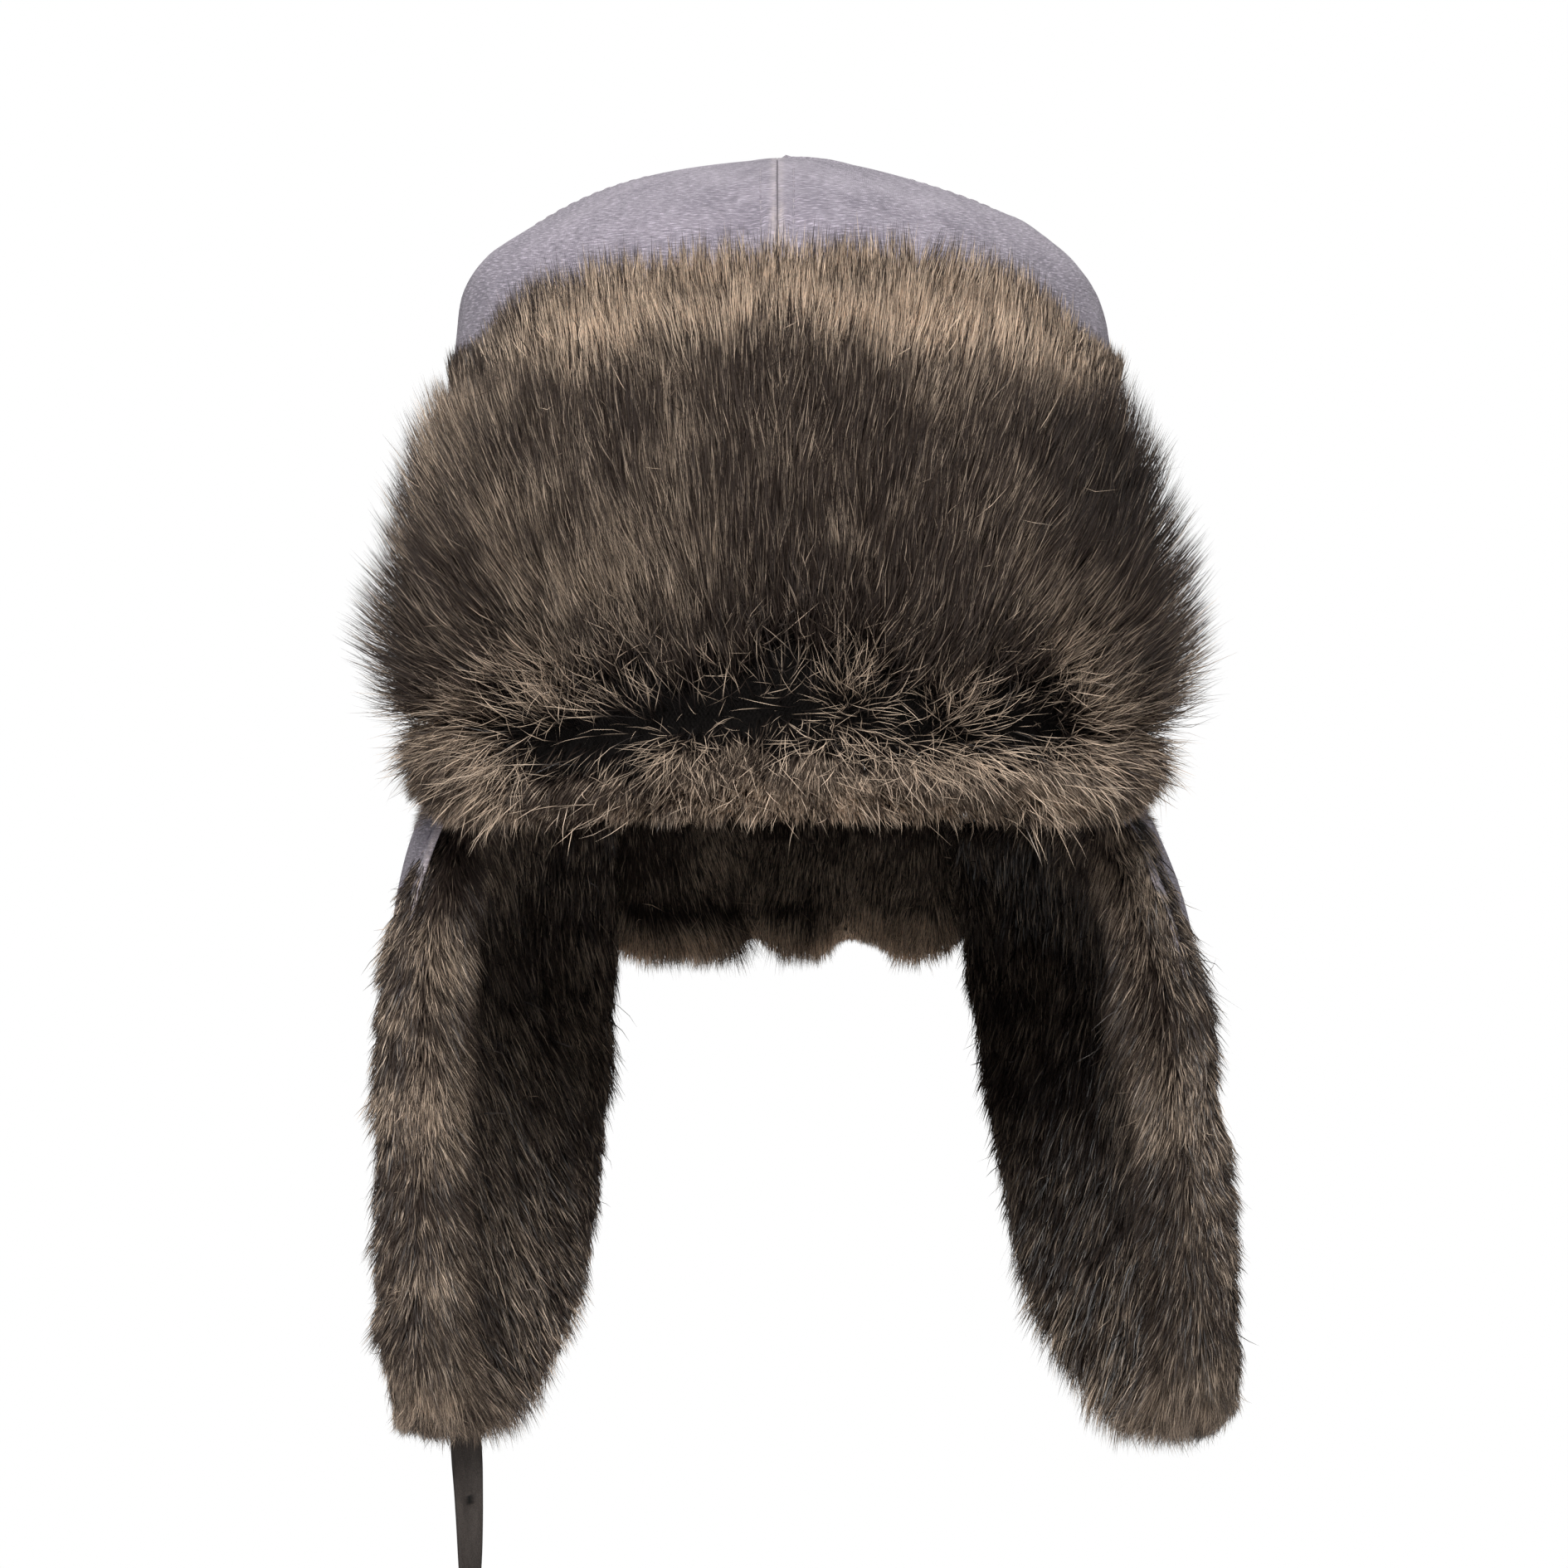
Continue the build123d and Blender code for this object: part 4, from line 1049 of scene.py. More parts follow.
# brow flap: backing cloth, interlining and fur ground
def brow_cloth():
    rings = rim_rings(0.15, 1.5, 0.0, 9.0, inner_steps=30, arc=5, share_low=0.03, face_insets=(0.9, 1.6, 2.3, 3.0, 3.8, 4.4, 5.0, 5.6, 6.3, 7.2, 8.0))
    b = resample(brow_border, 560)
    f = pillow(b, BROW_CENTRE, brow, rings)
    V = f["V"]
    N = vertex_normals(V, f["F"])
    e = f["e"]
    back_face = f["side"] == 0.0
    lift = -0.4 * np.exp(-((e - 4.9) / 0.7) ** 2) + 0.2 * np.exp(-((e - 2.6) / 1.6) ** 2) + smooth(0, 12, e) * 0.25 * noise(V, 24.0, 91)
    lift = np.where(back_face, np.minimum(lift, 0.25), 0.0)
    V = V + N * lift[:, None]
    wear_and_painted_shade = np.clip(np.exp(-(e / 1.8) ** 2) * (0.6 + 0.7 * noise(V, 8.0, 93)), 0, 1)
    ob = mesh_from("brow_flap_cloth", V, f["F"], {"st": np.stack([f["p"], f["z"], f["side"]], 1) + [3000.0, 0, 0], "wear_and_painted_shade": wear_and_painted_shade}, material=CLOTH_BACK)
    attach(ob, "brow_flap")
    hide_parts("brow_flap_backing")
    K = len(b)
    order = [i for i, r in enumerate(rings) if r[3] == 0.0 and abs(r[0] - 5.0) < 0.01 and r[1] == 1.0][0]
    P, NN = V[order * K:(order + 1) * K], N[order * K:(order + 1) * K]
    stitches("brow_flap_cloth_stitching", [(np.vstack([P, P[:1]]), np.vstack([NN, NN[:1]]))], "brow_flap")


brow_cloth()
f = pillow(resample(brow_border, 300), BROW_CENTRE, brow, rim_rings(1.7, 3.6, 3.0, 9.0, inner_steps=16, arc=5, share_low=0.06))
ob = mesh_from("brow_flap_felt", f["V"], f["F"], {"st": np.stack([f["p"], f["z"], f["side"] * 30], 1)}, material=FELT)
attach(ob, "brow_flap"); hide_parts("brow_flap_interlining")


def brow_bend(f):
    p, z, d, s = f["p"], f["z"], f["d"], f["side"]
    zc = crease(p)
    w = smooth(0.3, 1.0, s)
    roll = np.clip((z + 6.0) / np.maximum(zc + 3.0, 6.0), 0, 1)
    up = 3.2 * np.sin(np.pi * roll) * (z < zc) * (1 - 0.55 * smooth(70, 105, np.abs(p)))
    main = 1.2 * smooth(0, 22, z - zc) * (z >= zc)
    dip = -1.0 * np.exp(-((z - zc) / 3.0) ** 2)
    g = d + w * (up + main + dip + 0.7 * noise(np.stack([p, z, 0 * p], 1), 20.0, 95))
    return brow(p, z, g)


brow_ground = pillow(resample(brow_border, 420), BROW_CENTRE, brow, rim_rings(3.8, 6.2, 1.0, 8.0, inner_steps=44, arc=5, share_low=0.03))
brow_ground["V"] = brow_bend(brow_ground)
brow_ground["N"] = vertex_normals(brow_ground["V"], brow_ground["F"])
ob = mesh_from("brow_flap_fur_ground", brow_ground["V"], brow_ground["F"], {"st": np.stack([brow_ground["p"], brow_ground["z"], brow_ground["side"] * 30], 1)}, material=GROUND)
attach(ob, "brow_flap")


# ---------------------------------------------------------------- hair
def roots(f, count, rng, where):
    """Random points on a ground mesh, evenly over its area, thinned by where(dict) in 0..1."""
    T = triangles(f["F"])
    a, b, c = f["V"][T[:, 0]], f["V"][T[:, 1]], f["V"][T[:, 2]]
    area = np.linalg.norm(np.cross(b - a, c - a), axis=1) / 2
    mid = {k: f[k][T].mean(1) for k in ("p", "z", "e", "side")}
    mid["x"] = f["V"][T][:, :, 0].mean(1)
    w = area * where(mid)
    i = rng.choice(len(T), count, p=w / w.sum())
    u, v = rng.random(count), rng.random(count)
    flip = u + v > 1
    u, v = np.where(flip, 1 - u, u), np.where(flip, 1 - v, v)
    W = np.stack([1 - u - v, u, v], 1)[:, :, None]
    out = {k: (f[k][T[i]] * W[:, :, 0]).sum(1) for k in ("p", "z", "e", "side")}
    out["P"] = (f["V"][T[i]] * W).sum(1)
    out["N"] = unit((f["N"][T[i]] * W).sum(1))
    if "surf" in f:
        up = f.get("up", 1.0)
        out["face"] = unit(f["surf"](out["p"], out["z"], np.full(count, 1.0 * up)) - f["surf"](out["p"], out["z"], np.full(count, -1.0 * up)))
    return out


def swing(n, c, angle):
    """c turned in the tangent plane of n by angle."""
    return c * np.cos(angle)[:, None] + np.cross(n, c) * np.sin(angle)[:, None]


def hair(name, r, L, comb, lean0, lean1, rng, light, guard, width, body, blend_to=None, tuft=90, pull=0.5, wild=0.10, bend=0.0,
         roll=1.2, replace=(), seg=3, tone_and_painted_shading=0.0):
    """Tapered ribbons from the roots r. comb is the tangential direction, lean the angle from the normal in radians at root and tip."""
    n = len(L)
    P, N = r["P"], r.get("grow", r["N"])
    comb = unit(comb - (comb * N).sum(1, keepdims=True) * N)
    pts = np.empty((n, seg + 1, 3))
    pts[:, 0] = P - N * 0.4
    wob = rng.normal(0, 1, (n, 3)) * wild
    curl = rng.normal(0, 1, (n, 3)) * wild * 0.8
    for i in range(seg):
        t = (i + 0.5) / seg
        a = lean0 + (lean1 - lean0) * t
        d = unit(np.cos(a)[:, None] * N + np.sin(a)[:, None] * comb + wob + curl * (t - 0.3) * 1.6)
        pts[:, i + 1] = pts[:, i] + d * (L / seg)[:, None]
    # tufts: each hair's end is drawn towards the nearest leader's
    lead = rng.choice(n, max(n // tuft, 8), replace=False)
    tree = kdtree.KDTree(len(lead))
    for j, q in enumerate(lead):
        tree.insert(P[q], j)
    tree.balance()
    jitter = rng.normal(0, 0.8, (n, 3))
    near = lead[np.array([tree.find(q)[1] for q in (P + jitter)])]
    amount = pull * rng.beta(2.2, 1.6, n)
    for i in range(1, seg + 1):
        k_ = (amount * (i / seg) ** 1.5)[:, None]
        pts[:, i] += (pts[near, i] - pts[:, i]) * k_
    tan = unit(pts[:, -1] - pts[:, 0])
    m = np.cross(tan, N)
    m = unit(m)
    face = np.cross(m, tan)
    ra = rng.uniform(-roll, roll, n)
    sidev = m * np.cos(ra)[:, None] + face * np.sin(ra)[:, None]
    profile = [1.0, 0.92, 0.62, 0.0] if seg == 3 else [1.0, 0.96, 0.82, 0.52, 0.0]
    per = 2 * seg + 1
    V = np.empty((n, per, 3))
    for i in range(seg):
        h = sidev * (width * profile[i] / 2)[:, None]
        V[:, 2 * i] = pts[:, i] - h
        V[:, 2 * i + 1] = pts[:, i] + h
    V[:, -1] = pts[:, -1]
    q = np.array([[2 * i, 2 * i + 1, 2 * i + 3, 2 * i + 2] for i in range(seg - 1)])
    t3 = np.array([[2 * seg - 2, 2 * seg - 1, 2 * seg]])
    base = (np.arange(n) * per)[:, None, None]
    F = [(q[None] + base).reshape(-1, 4), (t3[None] + base).reshape(-1, 3)]
    tt = np.repeat(np.arange(seg) / seg, 2).tolist() + [1.0]
    att = np.empty((n, per, 3))
    att[:, :, 0] = np.array(tt)[None]
    att[:, :, 1] = light[:, None]
    # the third number: a random one less the darkening given, which is partly the fur's tone and partly painted shade;
    # where it is negative, painted light
    att[:, :, 2] = (rng.random(n) - tone_and_painted_shading)[:, None]
    gd = np.repeat(guard[:, None], per, 1)
    ob = mesh_from(name, V.reshape(-1, 3), F, {"hair": att.reshape(-1, 3), "guard": gd.ravel()}, material=HAIR)
    # a map of its own: one narrow upright cell for each hair, neighbours side by side
    me = ob.data
    order = np.argsort(np.round(P[:, 2] / 6.0) * 10000 + P[:, 0], kind="stable")
    cell = np.empty(n, np.int64)
    cell[order] = np.arange(n)
    cols = 512
    rows__ = max(1, math.ceil(n / cols))
    cu = (cell % cols + 0.5) / cols
    cv = (cell // cols) / rows__
    hv = 1.0 / rows__
    uvp = np.empty((n, per, 2))
    hw = 0.36 / cols
    for i in range(seg):
        v = cv + hv * (0.06 + 0.88 * i / seg)
        uvp[:, 2 * i] = np.stack([cu - hw, v], 1)
        uvp[:, 2 * i + 1] = np.stack([cu + hw, v], 1)
    uvp[:, -1] = np.stack([cu, cv + hv * 0.94], 1)
    li = np.empty(len(me.loops), np.int32)
    me.loops.foreach_get("vertex_index", li)
    me.uv_layers.new(name="OFBake").data.foreach_set("uv", uvp.reshape(-1, 2)[li].astype(np.float32).ravel())
    if blend_to:
        across(ob)
    else:
        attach(ob, body)
    if replace:
        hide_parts(*replace)
    return ob


UP, DOWN = np.array([0, 0, 1.0]), np.array([0, 0, -1.0])


def blob(x, z, cx, cz, r, rz=None):
    return np.exp(-((x - cx) / r) ** 2 - ((z - cz) / (rz or r)) ** 2)


brow_ground["surf"] = brow
for side_, surf in (("right", flap_right), ("left", flap_left)):
    ear_ground[side_]["surf"], ear_ground[side_]["up"] = surf, -1.0
curtain_ground["surf"], curtain_ground["up"] = curtain, -1.0


def parting(p):
    """Half height of the bare parting above and below the crease, in mm."""
    q = np.stack([p, 0 * p, 0 * p], -1)
    return np.clip(12.6 + 3.8 * noise(q, 15.0, 301) + 5.0 * noise(q, 6.5, 302), 6.0, 19.0) * (1 - 0.80 * smooth(84, 116, np.abs(p)))


# brow flap: the main fur, above the crease
def brow_hair(name, count, seed, kind, half=None, replace=()):
    rng = np.random.default_rng(seed)

    def where(m):
        over = m["z"] - crease(m["p"]) - parting(m["p"])
        w = smooth(0.10, 0.6, m["side"]) * (0.03 + 0.97 * smooth(-1.0, 2.2, over)) * (m["z"] > crease(m["p"]))
        w = w * (1 + 0.9 * smooth(96, 112, m["z"]))
        if half == "left":
            w = w * smooth(-22, 22, m["p"])
        if half == "right":
            w = w * smooth(22, -22, m["p"])
        return w + 1e-9 * (m["side"] > 0.5)
    r = roots(brow_ground, count, rng, where)
    P, p, z, e = r["P"], r["p"], r["z"], r["e"]
    x = P[:, 0]
    up_by = np.maximum(z - crease(p) - parting(p), 0)
    rim = np.exp(-(np.maximum(e - 1.5, 0) / 4.0) ** 2)
    rim = rim * smooth(104, 84, z)
    N = unit(r["face"] * (1 - 0.35 * rim)[:, None] + r["N"] * (0.35 * rim)[:, None])
    r["grow"] = N
    ends = smooth(100, 122, np.abs(p)) * smooth(100, 80, z)
    flow = noise(P, 26.0, seed) * 0.16 + noise(P, 9.0, seed + 1) * 0.17
    corner = smooth(60, 84, np.abs(x)) * smooth(82, 97, z)
    below = np.interp(x, top_curve[:, 0], top_curve[:, 1]) - z
    comb = UP + np.stack([(0.16 - 0.30 * corner) * x / 100, 0 * x, 0 * x], 1) + np.array([0, 0.5, 0]) * ends[:, None]
    comb = unit(comb - (comb * N).sum(1, keepdims=True) * N)
    comb = swing(N, comb, flow)
    sides = smooth(50, 105, np.abs(p))
    lean_a = np.interp(up_by, [0, 6, 20, 45, 75, 110], [30, 36, 44, 56, 66, 70]) * (1 - sides) + np.interp(up_by, [0, 6, 20, 45, 75, 110], [2, 10, 32, 58, 72, 78]) * sides
    lean_b = np.interp(up_by, [0, 6, 20, 45, 75, 110], [52, 58, 66, 76, 82, 85]) * (1 - sides) + np.interp(up_by, [0, 6, 20, 45, 75, 110], [28, 38, 58, 76, 86, 90]) * sides
    lump = 9 * noise(P, 12.0, 401) * (1 - corner)
    lean_a = lean_a + (68 - lean_a) * corner
    lean_b = lean_b + (86 - lean_b) * corner
    l0, l1 = np.radians(lean_a + lump), np.radians(lean_b + lump)
    if kind == "under":
        L = rng.uniform(12, 18, count)
        width = rng.uniform(0.36, 0.56, count)
        guard = (rng.random(count) < 0.35) * 1.0
        wild = 0.11
    else:
        L = rng.uniform(21.5, 28.0, count) * (1 - 0.16 * smooth(10, 0, up_by))
        width = rng.uniform(0.18, 0.34, count)
        guard = (rng.random(count) < 0.74) * rng.uniform(0.6, 1.0, count)
        wild = 0.10 + 0.16 * smooth(14, 0, up_by)[:, None] + 0.9 * (rng.random(count) < 0.035 + 0.10 * smooth(12, 0, up_by))[:, None] * rng.random((count, 1))
    L = L * (1 - 0.55 * corner) * (1 - 0.16 * smooth(104, 118, z)) * (1 + 0.16 * smooth(84, 112, np.abs(p)) * smooth(94, 80, z))
    mark = 0.20 + 0.30 * noise(P, 21.0, 7) + 0.34 * noise(P, 8.5, 8) + 0.28 * noise(P, 3.4, 9)
    cream = smooth(33, 19, below + 5 * noise(P, 16.0, 12) + 3 * noise(P, 5.0, 13)) * (1 - 0.75 * smooth(-50, -76, x)) * (1 - 0.75 * smooth(72, 90, x))
    dark = blob(x, z, 85, 64, 20)
    mark += 0.85 * cream - 0.80 * dark - 0.42 * blob(x, z, 29, 28, 18, 15) - 0.12 * blob(x, z, -12, 74, 36, 20) - 0.12 * blob(x, z, 25, 56, 30)
    mark += 0.24 * blob(x, z, -92, 80, 16) + 0.20 * blob(x, z, 52, 96, 26, 14) + 0.20 * blob(x, z, -40, 32, 22, 12) + 0.18 * blob(x, z, 60, 36, 34, 14)
    chance = np.clip(mark, 0.02, 0.98)
    bright = rng.random(count) < (0.12 + 0.72 * chance) * (1 - 0.16 * cream)
    light = np.where(bright, 0.55 + 0.40 * chance + rng.normal(0, 0.16, count), 0.03 + 0.10 * chance)
    light = np.clip(light, 0, 1)
    if kind == "under":
        light *= 0.30 + 0.5 * cream
    else:
        # pale tips in the cream band, dark ones along the top where they lie over the cloth
        guard = np.where(rng.random(count) < 0.20, guard, guard * (1 - 0.90 * cream * smooth(14, 20, below)))
        light = np.where(cream > 0.5, np.where(light > 0.4, 1.0, 0.0), light)
        guard = np.where((below < 9.5 + 6 * noise(P, 6.0, 14)) & (rng.random(count) < 0.62), 1.0, guard)
        L = np.where(below < 14, L * rng.uniform(0.72, 1.16, count), L)
    # the darkening: painted shade on the hairs just above the parting, plus the fur's own tone (a dark patch, an
    # overall step, and in the cream band lighter light hairs and darker dark ones)
    return hair(name, r, L, comb, l0, l1, rng, light, guard, width, "brow_flap", tuft=60 if kind == "under" else 46, pull=0.55, wild=wild, replace=replace,
                tone_and_painted_shading=0.65 * dark + 0.05 + 0.22 * smooth(16, 4, up_by) + np.where(light > 0.4, -0.32, 0.30) * cream)


brow_hair("brow_flap_under_fur", 39500, 101, "under", replace=("brow_flap_fur",))
brow_hair("brow_flap_guard_fur_left", 39500, 102, "guard", "left", replace=("brow_flap_fur",))
brow_hair("brow_flap_guard_fur_right", 39500, 103, "guard", "right", replace=("brow_flap_fur",))


# brow flap: the roll below the crease
def roll_hair(name, count, seed, replace=()):
    rng = np.random.default_rng(seed)

    def where(m):
        under = crease(m["p"]) - parting(m["p"]) * 0.66 - m["z"]
        return smooth(0.10, 0.5, m["side"]) * (0.02 + 0.98 * smooth(-0.8, 1.8, under)) * (m["z"] < crease(m["p"])) * (0.45 + 0.55 * smooth(-6.6, -3.0, m["z"])) + 1e-9 * (m["side"] > 0.5)
    r = roots(brow_ground, count, rng, where)
    P, p, z, e = r["P"], r["p"], r["z"], r["e"]
    x = P[:, 0]
    top = crease(p) - parting(p) * 0.66
    down_by = np.clip((top - z) / (top + 6.8), 0, 1)
    rim = np.exp(-(np.maximum(e - 1.5, 0) / 4.0) ** 2)
    N = unit(r["face"] * (1 - 0.5 * rim)[:, None] + r["N"] * (0.5 * rim)[:, None])
    r["grow"] = N
    flow = noise(P, 20.0, seed) * 0.35 + noise(P, 7.0, seed + 1) * 0.35
    comb = DOWN + np.stack([0.10 * x / 100, 0 * x, 0 * x], 1)
    comb = unit(comb - (comb * N).sum(1, keepdims=True) * N)
    comb = swing(N, comb, flow)
    sides = smooth(60, 112, np.abs(p)) * (1.0 - 0.35 * (p > 0))
    l0 = np.radians(np.interp(down_by, [0, 0.25, 0.6, 1], [10, 16, 10, 4]) + 8 * sides + 12 * noise(P, 9.0, seed + 2))
    l1 = np.radians(np.interp(down_by, [0, 0.25, 0.6, 1], [42, 46, 32, 26]) + 8 * sides + 12 * noise(P, 9.0, seed + 2))
    L = rng.uniform(9.0, 13.5, count) * (1 - 0.34 * down_by) * (1 + 0.15 * sides)
    width = rng.uniform(0.24, 0.42, count)
    guard = (rng.random(count) < 0.38) * rng.uniform(0.4, 1.0, count)
    # marking, with painted light on the lower part of the roll
    mark = 0.20 + 0.36 * noise(P, 18.0, 17) + 0.36 * noise(P, 7.5, 18) + 0.24 * noise(P, 3.2, 19) + 0.30 * smooth(0.2, 0.8, down_by)
    chance = np.clip(mark, 0.02, 0.98)
    bright = rng.random(count) < 0.20 + 0.75 * chance
    light = np.clip(np.where(bright, 0.42 + 0.50 * chance + rng.normal(0, 0.16, count), 0.04 + 0.1 * chance), 0, 1)
    wild = 0.14 + 0.8 * (rng.random(count) < 0.06)[:, None] * rng.random((count, 1))
    # painted shade darkens the upper part of the roll, next to the parting
    return hair(name, r, L, comb, l0, l1, rng, light, guard, width, "brow_flap", tuft=50, pull=0.55, wild=wild, replace=replace, tone_and_painted_shading=0.25 * smooth(0.5, 0.0, down_by))


roll_hair("brow_roll_guard_fur", 33000, 104, replace=("brow_roll_fur",))


# long bright hairs that cross the dark parting
def stray_hair(name, count, seed, ends=False):
    rng = np.random.default_rng(seed)

    def where(m):
        d = np.abs(m["z"] - crease(m["p"])) / (parting(m["p"]) + 4.0)
        clump = 0.08 + smooth(0.05, 0.6, noise(np.stack([m["p"], m["z"], 0 * m["p"]], 1), 9.0, 303))
        if ends:
            return smooth(0.02, 0.3, m["side"]) * smooth(82, 104, np.abs(m["p"])) * smooth(13, 5, np.abs(m["z"] - crease(m["p"]))) + 1e-9
        clump = clump * (1 - 0.75 * blob(m["p"], m["z"], 29, 26, 18, 16))
        return smooth(0.10, 0.5, m["side"]) * smooth(1.6, 0.6, d) * clump
    r = roots(brow_ground, count, rng, where)
    P, p, z = r["P"], r["p"], r["z"]
    r["grow"] = r["face"]
    above = np.where(z > crease(p), 1.0, -1.0)
    comb = np.stack([rng.normal(0, 1.1, count), 0 * p, above * 0.9 + rng.normal(0, 0.6, count)], 1)
    N = r["grow"]
    comb = unit(comb - (comb * N).sum(1, keepdims=True) * N)
    l0 = np.radians(rng.uniform(5, 40, count))
    l1 = l0 + np.radians(rng.uniform(10, 60, count))
    L = rng.uniform(13, 25, count)
    width = rng.uniform(0.16, 0.26, count)
    light = np.clip(rng.normal(0.90, 0.16, count), 0, 1)
    guard = (rng.random(count) < 0.2) * 0.6
    if ends:
        comb = comb * 0.5 + DOWN * 0.15
        l1 = l0 + np.radians(rng.uniform(0, 30, count))
        L = L * 0.78
        width = rng.uniform(0.24, 0.38, count)
        light = np.clip(np.where(rng.random(count) < 0.4, rng.normal(0.7, 0.2, count), 0.08), 0, 1)
    return hair(name, r, L, comb, l0, l1, rng, light, guard, width, "brow_flap", tuft=8, pull=0.30, wild=0.22, seg=4)


stray_hair("brow_parting_stray_fur", 4200, 105)
stray_hair("brow_crease_end_fur", 7000, 106, ends=True)


# ear flaps and neck curtain
def flap_hair(name, f, count, seed, kind, body, replace=(), mark_shift=0.0, part=None, bare_top=0.0):
    rng = np.random.default_rng(seed)
    curtain_ = f is curtain_ground

    def where(m):
        w = smooth(0.0, 0.12, m["side"]) * (0.70 + 1.3 * np.exp(-(m["e"] / 9.0) ** 2))
        if part == "front":
            w = w * (m["p"] < 14)
        if part == "rear":
            w = w * (m["p"] >= 14)
        return w + 1e-9 * (m["side"] > 0.5)
    r = roots(f, count, rng, where)
    P, p, z, e, side = r["P"], r["p"], r["z"], r["e"], r["side"]
    rim = np.exp(-(np.maximum(e - 3.4, 0) / 3.6) ** 2)
    outer = rim * smooth(0.95, 0.15, side) * smooth(-6 - bare_top, -16 - bare_top * 1.4, z)
    N = unit(r["N"] - r["face"] * (0.25 * outer)[:, None])
    r["grow"] = N
    flow = noise(P, 24.0, seed) * 0.22 + noise(P, 8.0, seed + 1) * 0.20
    inner = np.zeros(count) if curtain_ else smooth(10, 34, e) + smooth(30, 90, p)
    inner = np.clip(inner, 0, 1)
    comb = np.tile(DOWN, (count, 1)) - r["face"] * (0.30 * outer)[:, None]
    comb = unit(comb - (comb * N).sum(1, keepdims=True) * N + 1e-6)
    comb = swing(N, comb, flow)
    lump = 9 * noise(P, 10.0, 411)
    l0 = np.radians(42 + 28 * inner + lump)
    l1 = np.radians(68 + 21 * inner + lump)
    top = smooth(-6, -26, z)
    if kind == "under":
        L = rng.uniform(8.5, 12.5, count)
        width = rng.uniform(0.40, 0.62, count)
        guard = (rng.random(count) < 0.4) * 1.0
    else:
        L = rng.uniform(14.5, 20, count) * (1 - 0.10 * rim) * (1 - 0.22 * smooth(60, 120, p) * (not curtain_))
        width = rng.uniform(0.18, 0.31, count)
        guard = (rng.random(count) < 0.65) * rng.uniform(0.6, 1.0, count)
    L = L * (0.60 + 0.40 * top)
    left_ = P[:, 0].mean() > 0
    if curtain_:
        L = L * (1 - 0.50 * smooth(-26, -43, z))
    elif not left_:
        L = L * (1 - 0.35 * smooth(60, 100, p) * smooth(-70, -100, z))
    if not curtain_ and left_:
        L = L * (1 + 0.35 * blob(P[:, 1], z, -48, -50, 16, 9))
    mark = 0.24 + mark_shift + 0.42 * noise(P, 20.0, 27) + 0.32 * noise(P, 8.0, 28) + 0.22 * noise(P, 3.4, 29)
    if curtain_:
        # the lower edge lighter: partly cream-tipped hair and partly painted light, strongest in a painted lit patch
        # near x = -42
        mark = mark + 1.2 * smooth(-24, -38, z + 5 * noise(P, 14.0, 44)) * (0.45 + 0.8 * blob(P[:, 0], z, -42, -36, 16, 30))
        L = L * np.where(P[:, 2] < -28, np.clip(1.05 + 0.75 * noise(P * [1, 1, 0], 9.0, 45), 0.5, 1.7), 0.75)
    else:
        # lighter towards the lower edge, and painted light on the hair along the flap's edges
        mark = mark + 0.40 * smooth(-134, -166, z) + 0.16 * rim
    chance = np.clip(mark, 0.02, 0.98)
    bright = rng.random(count) < 0.14 + 0.75 * chance
    light = np.clip(np.where(bright, 0.40 + 0.52 * chance + rng.normal(0, 0.16, count), 0.03 + 0.1 * chance), 0, 1)
    if kind == "under":
        light *= 0.30
    wild = 0.12 + 0.6 * (rng.random(count) < 0.03)[:, None] * rng.random((count, 1))
    # the darkening: on the neck curtain, painted shade over the upper part and painted light along the lower edge; on
    # the ear flaps, painted shade on the inner faces' upper part and over the whole left flap (+X), and the right flap
    # lighter towards its lower edge
    return hair(name, r, L, comb, l0, l1, rng, light, guard, width, None, blend_to=body, tuft=60 if kind == "under" else 36, pull=0.42, wild=wild, replace=replace,
                tone_and_painted_shading=(0.35 * smooth(-34, -14, z) - 0.45 * smooth(-34, -42, z) if curtain_ else
                       0.42 * inner * smooth(-110, -50, z) + (0.44 + 0.06 * inner if left_ else -0.25 * smooth(-140, -165, z))))


